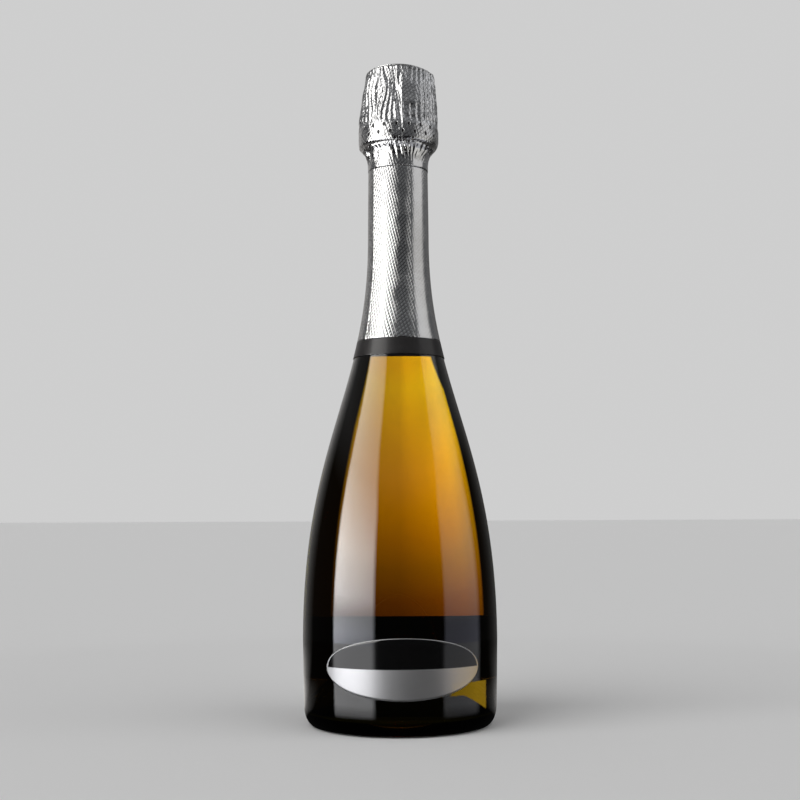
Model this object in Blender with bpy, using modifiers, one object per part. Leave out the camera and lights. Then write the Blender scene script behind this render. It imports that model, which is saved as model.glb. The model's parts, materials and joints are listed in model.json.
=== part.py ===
# Sparkling wine bottle, 0.75 litre, with its wired cork and foil capsule.
# Metres, +Z up. The origin is on the bottle's axis, on the surface that it stands on.
# The front label faces -Y and the wire cage's key lies at the back, towards +Y.

import math

import bmesh
import bpy
from mathutils import Matrix, Vector

# Clearances
FIT = 0.0003  # between pieces that touch
WIRE_FIT = 0.00034  # between a wire and what it lies on

# Glass body and shoulder
BODY_RADIUS = 0.0485
BASE_TAPER = 0.0006  # how much less the radius is at the heel
SHOULDER_START = 0.042
SHOULDER_END = 0.2436
SHOULDER_LOW_PULL = 0.0998
SHOULDER_HIGH_PULL = 0.0788
NECK_RADIUS = 0.0154
NECK_TOP_RADIUS = 0.0150
HEEL_REACH = 0.00525
HEEL_HEIGHT = 0.0100
STANDING_WIDTH = 0.0025

# Punt, the dome pushed up into the base
PUNT_DEPTH = 0.0336
PUNT_LIP = 0.0012
PUNT_LOW_PULL = 0.0137
PUNT_TOP_PULL = 0.0178
PUNT_GLASS = 0.0045
TROUGH_HEIGHT = 0.0068
TROUGH_ROUND = 0.0038

# Inside of the glass
BODY_WALL = 0.0029
BORE_RADIUS = 0.0090
NECK_INNER_RADIUS = 0.0097
INNER_SHOULDER_DROP = 0.0063  # from the end of the shoulder outside to its end inside
BORE_LENGTH = 0.050
FILL_DROP = 0.088  # from the brim down to the wine

# Glass mouth
NECK_LENGTH = 0.0704  # from the end of the shoulder up to the brim
CROWN_RADIUS = 0.0144
CROWN_HEIGHT = 0.0048
GROOVE_RADIUS = 0.0132
EDGE_ROUND = 0.0012
RING_RADIUS = 0.0176
RING_DROP = 0.0116  # from the brim down to the top of the ring
RING_HEIGHT = 0.0070
RING_UNDERCUT = 0.0012

# Cork, a pressed granulate body with two natural discs at its wet end
CORK_REACH = 0.0240  # how deep the cork stands in the neck
CORK_DISC = 0.0057
CORK_HEAD_RADIUS = 0.0155
CORK_HEAD_HEIGHT = 0.0150
CORK_HEAD_ROUND = 0.0032
CORK_CHAMFER = 0.0006

# Wire cage and the metal cap under it
CAP_RADIUS = 0.0150
CAP_THICKNESS = 0.00025
CAP_PLATEAU_RADIUS = 0.0118
CAP_STEP = 0.0012
CAP_SKIRT = 0.0016
CAP_BEND = 0.0006
FRAME_WIRE = 0.0007
TOP_RING_WIRE = 0.0009
BELT_WIRE = 0.0009
BELT_DROP = 0.0017  # from the underside of the glass ring to the belt's centre
TWIST_PITCH = 0.0075
LEG_COUNT = 4
LEG_FIRST_ANGLE = 45.0
LEG_STEP = 0.00125
HOOK_SIZE_SHARE = 0.48  # the single wire of the hook against the twisted pair
PAIR_WAIST_SHARE = 0.4  # half the twisted pair's waist against one wire

# Key, the twisted stem and loop of the belt's own wire
KEY_ANGLE = 90.0
STEM_LENGTH = 0.0014
SHANK_LENGTH = 0.0100
LOOP_LENGTH = 0.0125
LOOP_WIDTH = 0.0094
LOOP_LEAN = 0.0012  # how far the loop's top leans in over the cork
LOOP_FOOT_SHARE = 0.35  # how narrow the loop is at its foot
KEY_STEP = 0.00065

# Foil capsule
FOIL = 0.00025
CAPSULE_LENGTH = 0.1317  # from the brim down to the foot of the neck band
BAND_HEIGHT = 0.0084
TEAR_DROP = 0.0345  # from the brim down to the line where the hood tears off
HEM_EASE = 0.0007
CREASE_DROP = 0.0030  # from the belt's centre down to the crease under it
HOOD_SEGMENTS = 48
PLEAT_COUNT = 12
PLEAT_DEPTH = 0.00045
PLEAT_HEM_SHARE = 0.3
PLEAT_CREASE_SHARE = 0.4
PLEAT_RING_SHARE = 0.2
PLEAT_CORNER_SHARE = 0.6
HOOD_EDGE_ROUND = 0.0011
HOOD_FOLD_RADIUS = 0.0100
HOOD_EASE = 0.0006  # how far the hood stands off the wires
HOOD_HEADROOM = 0.00045
RIDGE_HALF_ANGLE = 17.0  # half the width of the bump over the key's stem
TOP_DISC_RADIUS = 0.0152
TOP_DISC_DOME = 0.0002
TOP_DISC_FLAT_SHARE = 0.6

# Labels
PAPER = 0.00018
FRONT_LABEL_ANGLE = -88.0
FRONT_LABEL_HALF_ANGLE = 47.5
FRONT_LABEL_LOW = 0.0172
FRONT_LABEL_HIGH = 0.0460
BACK_LABEL_ANGLE = 90.0
BACK_LABEL_HALF_ANGLE = 53.0
BACK_LABEL_LOW = 0.0181
BACK_LABEL_HIGH = 0.0499
BACK_LABEL_CORNER = 0.0015
LABEL_TIP_SHARE = 0.97

# Mesh fineness
GLASS_SEGMENTS = 36
SMALL_SEGMENTS = 28
MERGE_DISTANCE = 0.00005

# Heights worked out from the sizes above
BRIM_HEIGHT = SHOULDER_END + NECK_LENGTH
FILL_HEIGHT = BRIM_HEIGHT - FILL_DROP
TEAR_HEIGHT = BRIM_HEIGHT - TEAR_DROP
BAND_LOW = BRIM_HEIGHT - CAPSULE_LENGTH
INNER_SHOULDER_END = SHOULDER_END - INNER_SHOULDER_DROP
BASE_RADIUS = BODY_RADIUS - BASE_TAPER
RING_TOP = BRIM_HEIGHT - RING_DROP
RING_BOTTOM = RING_TOP - RING_HEIGHT
STANDING_OUTER = BASE_RADIUS - HEEL_REACH
STANDING_INNER = STANDING_OUTER - STANDING_WIDTH
CORK_RADIUS = BORE_RADIUS - FIT
CORK_TOP = BRIM_HEIGHT + FIT + CORK_HEAD_HEIGHT
CAP_RIM_TOP = CORK_TOP + WIRE_FIT + CAP_THICKNESS
CAP_TOP = CAP_RIM_TOP + CAP_STEP
TOP_RING_RADIUS = CAP_PLATEAU_RADIUS + WIRE_FIT + TOP_RING_WIRE / 2
TOP_RING_HEIGHT = CAP_RIM_TOP + WIRE_FIT + TOP_RING_WIRE / 2
BELT_RADIUS = NECK_TOP_RADIUS + WIRE_FIT + 2 * HOOK_SIZE_SHARE * FRAME_WIRE + WIRE_FIT + BELT_WIRE / 2
BELT_HEIGHT = RING_BOTTOM - BELT_DROP
CREASE_HEIGHT = BELT_HEIGHT - CREASE_DROP
PAIR_OVER_RING = RING_RADIUS + WIRE_FIT + FRAME_WIRE
KEY_RADIUS = RING_RADIUS + WIRE_FIT + BELT_WIRE
STEM_START = BELT_RADIUS + BELT_WIRE + WIRE_FIT
SHANK_FOOT = BELT_HEIGHT + BELT_WIRE + WIRE_FIT
HOOD_WIDE_RADIUS = PAIR_OVER_RING + FRAME_WIRE + WIRE_FIT + HOOD_EASE
HOOD_HEAD_RADIUS = CORK_HEAD_RADIUS + WIRE_FIT + 2 * FRAME_WIRE + WIRE_FIT + HOOD_EASE
HOOD_CORNER_RADIUS = CAP_RADIUS + WIRE_FIT + 2 * FRAME_WIRE + WIRE_FIT + HOOD_EASE
HOOD_TOP = CAP_TOP + HOOD_HEADROOM + WIRE_FIT


def clear_scene():
    for obj in list(bpy.data.objects):
        bpy.data.objects.remove(obj, do_unlink=True)


def new_collection(name):
    collection = bpy.data.collections.new(name)
    bpy.context.scene.collection.children.link(collection)
    return collection


clear_scene()
parts = new_collection("sparkling_wine_bottle")
cutters = new_collection("helper_shapes")


def material(name, color, roughness, metallic=0.0, alpha=1.0):
    made = bpy.data.materials.new(name)
    made.use_nodes = True
    shader = made.node_tree.nodes["Principled BSDF"]
    shader.inputs["Base Color"].default_value = (*color, 1.0)
    shader.inputs["Roughness"].default_value = roughness
    shader.inputs["Metallic"].default_value = metallic
    shader.inputs["Alpha"].default_value = alpha
    return made


def add_object(name, data, surface):
    obj = bpy.data.objects.new(name, data)
    parts.objects.link(obj)
    if surface:
        obj.data.materials.append(surface)
    return obj


# Outline helpers. An outline is a list of (radius, height).
def bezier(start, pull_start, pull_end, end, count):
    points = []
    for step in range(count + 1):
        t = step / count
        s = 1 - t
        weights = (s**3, 3 * s * s * t, 3 * s * t * t, t**3)
        corners = (start, pull_start, pull_end, end)
        points.append(tuple(sum(w * c[axis] for w, c in zip(weights, corners)) for axis in (0, 1)))
    return points


def quarter(centre, reach, rise, first, last, count):
    """Points of an ellipse about centre, from the angle first to the angle last in degrees."""
    points = []
    for step in range(count + 1):
        angle = math.radians(first + (last - first) * step / count)
        points.append((centre[0] + reach * math.cos(angle), centre[1] + rise * math.sin(angle)))
    return points


def offset(points, distance):
    """Moves an outline square to itself, to the right of its direction, or left if negative."""
    moved = []
    for index, (radius, height) in enumerate(points):
        before = points[max(index - 1, 0)]
        after = points[min(index + 1, len(points) - 1)]
        along = Vector((after[0] - before[0], after[1] - before[1])).normalized()
        moved.append((radius + along.y * distance, height - along.x * distance))
    return moved


def radius_at(outline, height):
    """Radius of an outline at a height, where the outline runs from high to low."""
    for (r_high, z_high), (r_low, z_low) in zip(outline, outline[1:]):
        if z_low <= height <= z_high and z_high > z_low:
            share = (height - z_low) / (z_high - z_low)
            return r_low + (r_high - r_low) * share
    raise ValueError("height is outside the outline")


def levels_between(outline, high, low):
    """The outline's own heights from high to low, so that what lies on it has the same facets."""
    inner = [z for _, z in outline if low + FIT < z < high - FIT]
    return [high, *inner, low]


# Outlines of the glass, which the wine, the foil and the labels also read
def outer_outline():
    """From under the ring down to the standing ring."""
    points = [(NECK_TOP_RADIUS, RING_BOTTOM - RING_UNDERCUT)]
    points += bezier(
        (NECK_RADIUS, SHOULDER_END),
        (NECK_RADIUS, SHOULDER_END - SHOULDER_HIGH_PULL),
        (BODY_RADIUS, SHOULDER_START + SHOULDER_LOW_PULL),
        (BODY_RADIUS, SHOULDER_START),
        12,
    )
    heel = (STANDING_OUTER, HEEL_HEIGHT)
    points += quarter(heel, HEEL_REACH, HEEL_HEIGHT, 0, -90, 4)
    return points


def inner_outline():
    """From the brim down the inside to the top of the punt."""
    wall_radius = BODY_RADIUS - BODY_WALL
    base_wall = BASE_RADIUS - BODY_WALL
    trough = (base_wall - TROUGH_ROUND, TROUGH_HEIGHT + TROUGH_ROUND)
    punt_top = PUNT_DEPTH + PUNT_GLASS
    points = [(BORE_RADIUS, BRIM_HEIGHT - BORE_LENGTH)]
    points += bezier(
        (NECK_INNER_RADIUS, INNER_SHOULDER_END),
        (NECK_INNER_RADIUS, INNER_SHOULDER_END - SHOULDER_HIGH_PULL + BODY_WALL),
        (wall_radius, SHOULDER_START + SHOULDER_LOW_PULL),
        (wall_radius, SHOULDER_START),
        9,
    )
    points += quarter(trough, TROUGH_ROUND, TROUGH_ROUND, 0, -90, 2)
    points += bezier(
        (trough[0] - PUNT_LIP, TROUGH_HEIGHT),
        (trough[0] - PUNT_LIP - PUNT_LOW_PULL, TROUGH_HEIGHT + PUNT_LOW_PULL),
        (PUNT_TOP_PULL, punt_top),
        (0, punt_top),
        5,
    )
    return points


def punt_outline():
    """From the inner edge of the standing ring up to the top of the hollow."""
    foot = STANDING_INNER - PUNT_LIP
    lip = [(STANDING_INNER, 0)]
    dome = bezier(
        (foot, PUNT_LIP),
        (foot - PUNT_LOW_PULL, PUNT_LIP + PUNT_LOW_PULL),
        (PUNT_TOP_PULL, PUNT_DEPTH),
        (0, PUNT_DEPTH),
        5,
    )
    return lip + dome


def mouth_outline():
    """From the bore's edge over the brim and the ring to the neck under it."""
    crown_low = BRIM_HEIGHT - CROWN_HEIGHT
    ring_edge = RING_RADIUS - EDGE_ROUND
    return [
        (BORE_RADIUS, BRIM_HEIGHT - EDGE_ROUND / 2),
        (BORE_RADIUS + EDGE_ROUND / 2, BRIM_HEIGHT),
        (CROWN_RADIUS - EDGE_ROUND, BRIM_HEIGHT),
        (CROWN_RADIUS, BRIM_HEIGHT - EDGE_ROUND),
        (CROWN_RADIUS, crown_low + EDGE_ROUND / 2),
        (GROOVE_RADIUS, crown_low - EDGE_ROUND / 2),
        (GROOVE_RADIUS, RING_TOP + EDGE_ROUND),
        (ring_edge, RING_TOP),
        (RING_RADIUS, RING_TOP - EDGE_ROUND),
        (RING_RADIUS, RING_BOTTOM + 2 * EDGE_ROUND),
        (ring_edge, RING_BOTTOM + EDGE_ROUND / 2),
        (NECK_TOP_RADIUS + EDGE_ROUND / 2, RING_BOTTOM),
    ]


GLASS_OUTLINE = outer_outline()
GLASS_INSIDE = inner_outline()


# Shape helpers
def turned(name, outline, surface, segments):
    """Turns an outline about the axis. It runs down the outer side, and ends on the axis."""
    mesh = bpy.data.meshes.new(name)
    edges = [(i, i + 1) for i in range(len(outline) - 1)]
    mesh.from_pydata([(radius, 0, height) for radius, height in outline], edges, [])
    obj = add_object(name, mesh, surface)
    screw = obj.modifiers.new("turn", "SCREW")
    screw.angle = math.tau
    screw.steps = segments
    screw.render_steps = segments
    screw.use_merge_vertices = True
    screw.merge_threshold = MERGE_DISTANCE
    return obj


def turned_ring(name, outline, surface, segments):
    """Turns a closed outline that stays clear of the axis."""
    return turned(name, [*outline, outline[0]], surface, segments)


def wire(name, points, thickness, surface, closed=False, sides=2):
    """A round wire along points."""
    curve = bpy.data.curves.new(name, "CURVE")
    curve.dimensions = "3D"
    curve.bevel_depth = thickness / 2
    curve.bevel_resolution = sides
    curve.use_fill_caps = True
    spline = curve.splines.new("POLY")
    spline.points.add(len(points) - 1)
    for point, place in zip(spline.points, points):
        point.co = (*place, 1)
    spline.use_cyclic_u = closed
    return add_object(name, curve, surface)


def pair_section(name, thickness):
    """Cross-section of two wires twisted together: two lobes with a waist."""
    curve = bpy.data.curves.new(name, "CURVE")
    curve.dimensions = "2D"
    curve.fill_mode = "NONE"
    spline = curve.splines.new("POLY")
    spline.points.add(7)
    for index, point in enumerate(spline.points):
        angle = -math.tau * index / 8
        reach = thickness * (PAIR_WAIST_SHARE + (1 - PAIR_WAIST_SHARE) * math.cos(angle) ** 2)
        point.co = (reach * math.cos(angle), reach * math.sin(angle), 0, 1)
    spline.use_cyclic_u = True
    obj = bpy.data.objects.new(name, curve)
    obj.hide_render = True
    obj.display_type = "WIRE"
    cutters.objects.link(obj)
    return obj


def twisted_pair(name, points, section, pitch, surface, scales=None):
    """Two wires twisted together along points: a two-lobed section that turns as it goes."""
    curve = bpy.data.curves.new(name, "CURVE")
    curve.dimensions = "3D"
    curve.bevel_mode = "OBJECT"
    curve.bevel_object = section
    curve.use_fill_caps = True
    spline = curve.splines.new("POLY")
    spline.points.add(len(points) - 1)
    travelled = 0
    for index, point in enumerate(spline.points):
        if index:
            travelled += (Vector(points[index]) - Vector(points[index - 1])).length
        point.co = (*points[index], 1)
        point.tilt = math.tau * travelled / pitch
        point.radius = scales[index] if scales else 1
    return add_object(name, curve, surface)


def smooth_path(corners, step):
    """Evenly spaced points on a smooth curve through corners."""
    corners = [Vector(corner) for corner in corners]
    padded = [2 * corners[0] - corners[1], *corners, 2 * corners[-1] - corners[-2]]
    fine = []
    for before, start, end, after in zip(padded, padded[1:], padded[2:], padded[3:]):
        pull_out = (end - before) / 2
        pull_in = (after - start) / 2
        for index in range(12):
            t = index / 12
            from_start = (2 * t**3 - 3 * t**2 + 1) * start + (t**3 - 2 * t**2 + t) * pull_out
            to_end = (3 * t**2 - 2 * t**3) * end + (t**3 - t**2) * pull_in
            fine.append(from_start + to_end)
    fine.append(corners[-1])
    lengths = [0]
    for a, b in zip(fine, fine[1:]):
        lengths.append(lengths[-1] + (b - a).length)
    count = max(2, round(lengths[-1] / step))
    even = []
    for index in range(count + 1):
        goal = lengths[-1] * index / count
        place = next(i for i in range(len(fine)) if lengths[i] >= goal or i == len(fine) - 1)
        if place == 0:
            even.append(fine[0])
            continue
        span = lengths[place] - lengths[place - 1]
        share = (goal - lengths[place - 1]) / span if span else 0
        even.append(fine[place - 1].lerp(fine[place], min(share, 1)))
    return even


def at_angle(radius, height, degrees):
    angle = math.radians(degrees)
    return Vector((radius * math.cos(angle), radius * math.sin(angle), height))


def wrapped_sheet(name, place, columns, rows, thickness, surface, closed=False):
    """A grid laid on a surface by place(u, v), u and v from 0 to 1, with a wall outwards."""
    sheet = bmesh.new()
    bmesh.ops.create_grid(sheet, x_segments=columns, y_segments=rows, size=1)
    for vertex in sheet.verts:
        vertex.co = place((vertex.co.x + 1) / 2, (vertex.co.y + 1) / 2)
    if closed:
        bmesh.ops.remove_doubles(sheet, verts=sheet.verts, dist=MERGE_DISTANCE)
    mesh = bpy.data.meshes.new(name)
    sheet.to_mesh(mesh)
    sheet.free()
    mesh.shade_smooth()
    obj = add_object(name, mesh, surface)
    wall = obj.modifiers.new("wall", "SOLIDIFY")
    wall.thickness = thickness
    wall.offset = 1
    return obj


def mesh_copy(obj):
    """Turns a curve object into a mesh object with the same name, its caps welded on."""
    name, place = obj.name, obj.matrix_world.copy()
    graph = bpy.context.evaluated_depsgraph_get()
    mesh = bpy.data.meshes.new_from_object(obj.evaluated_get(graph))
    bpy.data.objects.remove(obj, do_unlink=True)
    welded = bmesh.new()
    welded.from_mesh(mesh)
    bmesh.ops.remove_doubles(welded, verts=welded.verts, dist=MERGE_DISTANCE / 5)
    bmesh.ops.recalc_face_normals(welded, faces=welded.faces)
    welded.to_mesh(mesh)
    welded.free()
    made = add_object(name, mesh, None)
    made.matrix_world = place
    return made


# Finishes
BROWN_GLASS = material("brown_glass", (0.035, 0.022, 0.008), 0.05, alpha=0.5)
WINE = material("pale_wine", (0.80, 0.52, 0.10), 0.02, alpha=0.7)
SILVER_FOIL = material("silver_foil", (0.72, 0.72, 0.73), 0.28, 1.0)
BLACK_FOIL = material("black_foil", (0.015, 0.013, 0.013), 0.35)
FRONT_PAPER = material("silver_paper", (0.46, 0.46, 0.48), 0.35, 0.6)
BACK_PAPER = material("dark_paper", (0.02, 0.02, 0.022), 0.5)
CORK_GRAIN = material("granulated_cork", (0.56, 0.38, 0.22), 0.9)
NATURAL_CORK = material("natural_cork", (0.62, 0.44, 0.27), 0.85)
WIRE_STEEL = material("wire_steel", (0.60, 0.60, 0.60), 0.3, 1.0)
CAP_STEEL = material("cap_tinplate", (0.70, 0.70, 0.70), 0.25, 1.0)


# Bottle
def glass_bottle():
    inside = list(reversed(GLASS_INSIDE))
    outline = inside + mouth_outline() + GLASS_OUTLINE + punt_outline()
    return turned("glass_bottle", outline, BROWN_GLASS, GLASS_SEGMENTS)


def wine_fill():
    """The wine fills the inside of the glass up to the fill height."""
    wetted = [point for point in GLASS_INSIDE if point[1] < FILL_HEIGHT]
    surface_radius = radius_at(GLASS_INSIDE, FILL_HEIGHT)
    skin = offset([(surface_radius, FILL_HEIGHT), *wetted], FIT)
    skin[0] = (surface_radius - FIT, FILL_HEIGHT)
    skin[-1] = (0, wetted[-1][1] + FIT)
    return turned("wine_fill", [(0, FILL_HEIGHT), *skin], WINE, GLASS_SEGMENTS)


def front_label():
    """An ellipse wrapped round the body."""
    middle = (FRONT_LABEL_LOW + FRONT_LABEL_HIGH) / 2
    half_height = (FRONT_LABEL_HIGH - FRONT_LABEL_LOW) / 2

    def place(u, v):
        sweep = (u * 2 - 1) * LABEL_TIP_SHARE * math.pi / 2
        height = middle + (v * 2 - 1) * half_height * math.cos(sweep)
        angle = FRONT_LABEL_ANGLE + FRONT_LABEL_HALF_ANGLE * math.sin(sweep)
        return at_angle(radius_at(GLASS_OUTLINE, height) + FIT, height, angle)

    return wrapped_sheet("front_label", place, 14, 4, PAPER, FRONT_PAPER)


def back_label():
    """A rectangle with rounded corners wrapped round the body."""
    middle = (BACK_LABEL_LOW + BACK_LABEL_HIGH) / 2
    half_height = (BACK_LABEL_HIGH - BACK_LABEL_LOW) / 2
    half_width = math.radians(BACK_LABEL_HALF_ANGLE) * BODY_RADIUS

    def place(u, v):
        across = math.sin((u * 2 - 1) * math.pi / 2) * half_width
        into_corner = max(0, abs(across) - (half_width - BACK_LABEL_CORNER)) / BACK_LABEL_CORNER
        drawn_in = BACK_LABEL_CORNER * (1 - math.sqrt(max(0, 1 - into_corner**2)))
        height = middle + (v * 2 - 1) * (half_height - drawn_in)
        angle = BACK_LABEL_ANGLE + math.degrees(across / BODY_RADIUS)
        return at_angle(radius_at(GLASS_OUTLINE, height) + FIT, height, angle)

    return wrapped_sheet("back_label", place, 14, 4, PAPER, BACK_PAPER)


def foil_sleeve(name, high, low, surface):
    """A ring of foil on the glass between two heights."""
    levels = levels_between(GLASS_OUTLINE, high, low)
    inside = [(radius_at(GLASS_OUTLINE, z) + FIT, z) for z in levels]
    outside = [(radius + FOIL, z) for radius, z in inside]
    return turned_ring(name, outside + list(reversed(inside)), surface, GLASS_SEGMENTS)


def capsule_skirt():
    return foil_sleeve("capsule_skirt", TEAR_HEIGHT - FIT, BAND_LOW + BAND_HEIGHT + FIT, SILVER_FOIL)


def neck_band():
    return foil_sleeve("neck_band", BAND_LOW + BAND_HEIGHT, BAND_LOW, BLACK_FOIL)


# Cork
def cork_body():
    """The mushroom head and the pressed stem down to the discs."""
    stem_low = BRIM_HEIGHT - CORK_REACH + 2 * (CORK_DISC + FIT)
    head_low = BRIM_HEIGHT + FIT
    head_side = (CORK_HEAD_RADIUS - CORK_HEAD_ROUND, CORK_TOP - CORK_HEAD_ROUND)
    outline = [(0, CORK_TOP), (CAP_PLATEAU_RADIUS, CORK_TOP)]
    outline += quarter(head_side, CORK_HEAD_ROUND - CAP_THICKNESS, CORK_HEAD_ROUND, 70, 0, 3)
    outline += [
        (CORK_HEAD_RADIUS, BRIM_HEIGHT + CORK_HEAD_HEIGHT / 2),
        (CORK_HEAD_RADIUS, head_low + CORK_HEAD_ROUND / 2),
        (CORK_HEAD_RADIUS - CORK_HEAD_ROUND / 2, head_low),
        (CORK_RADIUS + EDGE_ROUND / 2, head_low),
        (CORK_RADIUS, head_low - EDGE_ROUND),
        (CORK_RADIUS, stem_low),
        (0, stem_low),
    ]
    return turned("cork_body", outline, CORK_GRAIN, SMALL_SEGMENTS)


def cork_disc(name, low, chamfer=0):
    outline = [
        (0, low + CORK_DISC),
        (CORK_RADIUS, low + CORK_DISC),
        (CORK_RADIUS, low + chamfer),
        (CORK_RADIUS - chamfer, low),
        (0, low),
    ]
    return turned(name, outline, NATURAL_CORK, SMALL_SEGMENTS)


# Wire cage
def cage_cap():
    """A pressed metal cap with a raised middle, a groove for the wire and a turned-down edge."""
    top = [
        (0, CAP_TOP),
        (CAP_PLATEAU_RADIUS - CAP_BEND, CAP_TOP),
        (CAP_PLATEAU_RADIUS, CAP_TOP - CAP_BEND),
        (CAP_PLATEAU_RADIUS, CAP_RIM_TOP),
        (CAP_RADIUS - CAP_BEND, CAP_RIM_TOP),
        (CAP_RADIUS, CAP_RIM_TOP - CAP_BEND),
        (CAP_RADIUS, CAP_RIM_TOP - CAP_SKIRT),
    ]
    under = [
        (CAP_RADIUS - CAP_THICKNESS, CAP_RIM_TOP - CAP_SKIRT),
        (CAP_RADIUS - CAP_THICKNESS, CAP_RIM_TOP - CAP_BEND - CAP_THICKNESS / 2),
        (CAP_RADIUS - CAP_BEND - CAP_THICKNESS / 2, CAP_RIM_TOP - CAP_THICKNESS),
        (CAP_PLATEAU_RADIUS - CAP_THICKNESS, CAP_RIM_TOP - CAP_THICKNESS),
        (CAP_PLATEAU_RADIUS - CAP_THICKNESS, CAP_TOP - CAP_BEND - CAP_THICKNESS / 2),
        (CAP_PLATEAU_RADIUS - CAP_BEND - CAP_THICKNESS / 2, CAP_TOP - CAP_THICKNESS),
        (0, CAP_TOP - CAP_THICKNESS),
    ]
    return turned("cage_cap", top + under, CAP_STEEL, SMALL_SEGMENTS)


def circle_points(radius, height, first, last, count):
    return [at_angle(radius, height, first + (last - first) * i / count) for i in range(count + 1)]


def cage_top_ring():
    points = circle_points(TOP_RING_RADIUS, TOP_RING_HEIGHT, 0, 360, 24)[:-1]
    return wire("cage_top_ring", points, TOP_RING_WIRE, WIRE_STEEL, closed=True, sides=1)


def cage_leg(number, section):
    """A twisted pair from the top ring over the cap and the glass ring, hooked round the belt."""
    angle = LEG_FIRST_ANGLE + (number - 1) * 360 / LEG_COUNT
    hook_reach = BELT_WIRE / 2 + WIRE_FIT + HOOK_SIZE_SHARE * FRAME_WIRE
    side = [
        (TOP_RING_RADIUS + TOP_RING_WIRE / 2 + WIRE_FIT, CAP_RIM_TOP + WIRE_FIT + FRAME_WIRE),
        (CAP_RADIUS - CAP_BEND, CAP_RIM_TOP + WIRE_FIT + FRAME_WIRE),
        (CAP_RADIUS + WIRE_FIT + FRAME_WIRE, CAP_RIM_TOP - CAP_BEND),
        (CORK_HEAD_RADIUS + WIRE_FIT + FRAME_WIRE, BRIM_HEIGHT + CORK_HEAD_HEIGHT / 2),
        (PAIR_OVER_RING, RING_TOP),
        (PAIR_OVER_RING, RING_BOTTOM + 2 * EDGE_ROUND),
        (BELT_RADIUS + hook_reach + FRAME_WIRE, BELT_HEIGHT + BELT_DROP),
    ]
    hook = quarter((BELT_RADIUS, BELT_HEIGHT), hook_reach, hook_reach, 10, -190, 5)
    corners = [at_angle(radius, height, angle) for radius, height in side + hook]
    points = smooth_path(corners, LEG_STEP)
    hook_start = BELT_HEIGHT + BELT_DROP
    thinning = PAIR_OVER_RING - BELT_RADIUS
    scales = []
    for point in points:
        share = min(max((point.z - BELT_HEIGHT) / thinning, 0), 1) if point.z < hook_start else 1
        scales.append(HOOK_SIZE_SHARE + (1 - HOOK_SIZE_SHARE) * share)
    return twisted_pair(f"cage_leg_{number}", points, section, TWIST_PITCH, WIRE_STEEL, scales)


def cage_belt():
    """The belt wire under the glass ring, its two ends turned out side by side at the key."""
    half_gap = (BELT_WIRE + WIRE_FIT) / 2
    turn = math.degrees(2 * half_gap / BELT_RADIUS)
    ring = circle_points(BELT_RADIUS, BELT_HEIGHT, KEY_ANGLE + turn, KEY_ANGLE + 360 - turn, 30)
    out = at_angle(1, 0, KEY_ANGLE)
    across = at_angle(1, 0, KEY_ANGLE + 90)
    up = Vector((0, 0, BELT_HEIGHT))
    end_a = out * (BELT_RADIUS + BELT_WIRE) + across * half_gap + up
    end_b = out * (BELT_RADIUS + BELT_WIRE) - across * half_gap + up
    return wire("cage_belt", [end_a, *ring, end_b], BELT_WIRE, WIRE_STEEL, sides=1)


def key_stem(section):
    """The short twisted root between the belt and the fold of the key."""
    points = [
        at_angle(STEM_START + STEM_LENGTH * i / 4, BELT_HEIGHT, KEY_ANGLE) for i in range(5)
    ]
    return twisted_pair("key_stem", points, section, TWIST_PITCH, WIRE_STEEL)


def key_loop(section):
    """The twisted shank over the glass ring, and the wire loop above it that fingers turn."""
    top = SHANK_FOOT + SHANK_LENGTH
    middle = SHANK_FOOT + SHANK_LENGTH / 2
    shank_corners = [at_angle(KEY_RADIUS, height, KEY_ANGLE) for height in (SHANK_FOOT, middle, top)]
    shank = mesh_copy(
        twisted_pair("key_loop", smooth_path(shank_corners, KEY_STEP), section, TWIST_PITCH, WIRE_STEEL)
    )
    loop_points = []
    for index in range(21):
        turn = math.tau * index / 20
        rise = (1 - math.cos(turn)) / 2
        opening = LOOP_FOOT_SHARE + (1 - LOOP_FOOT_SHARE) * math.sin(turn / 2)
        across = math.sin(turn) * LOOP_WIDTH / 2 * opening
        radius = KEY_RADIUS - LOOP_LEAN * rise**1.5
        height = top - BELT_WIRE / 2 + LOOP_LENGTH * rise
        loop_points.append(at_angle(radius, height, KEY_ANGLE + math.degrees(across / radius)))
    loop = mesh_copy(wire("key_finger_loop", loop_points[:-1], BELT_WIRE, WIRE_STEEL, closed=True, sides=1))
    loop.hide_render = True
    loop.display_type = "WIRE"
    parts.objects.unlink(loop)
    cutters.objects.link(loop)
    join = shank.modifiers.new("join", "BOOLEAN")
    join.operation = "UNION"
    join.solver = "EXACT"
    join.object = loop
    return shank


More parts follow.
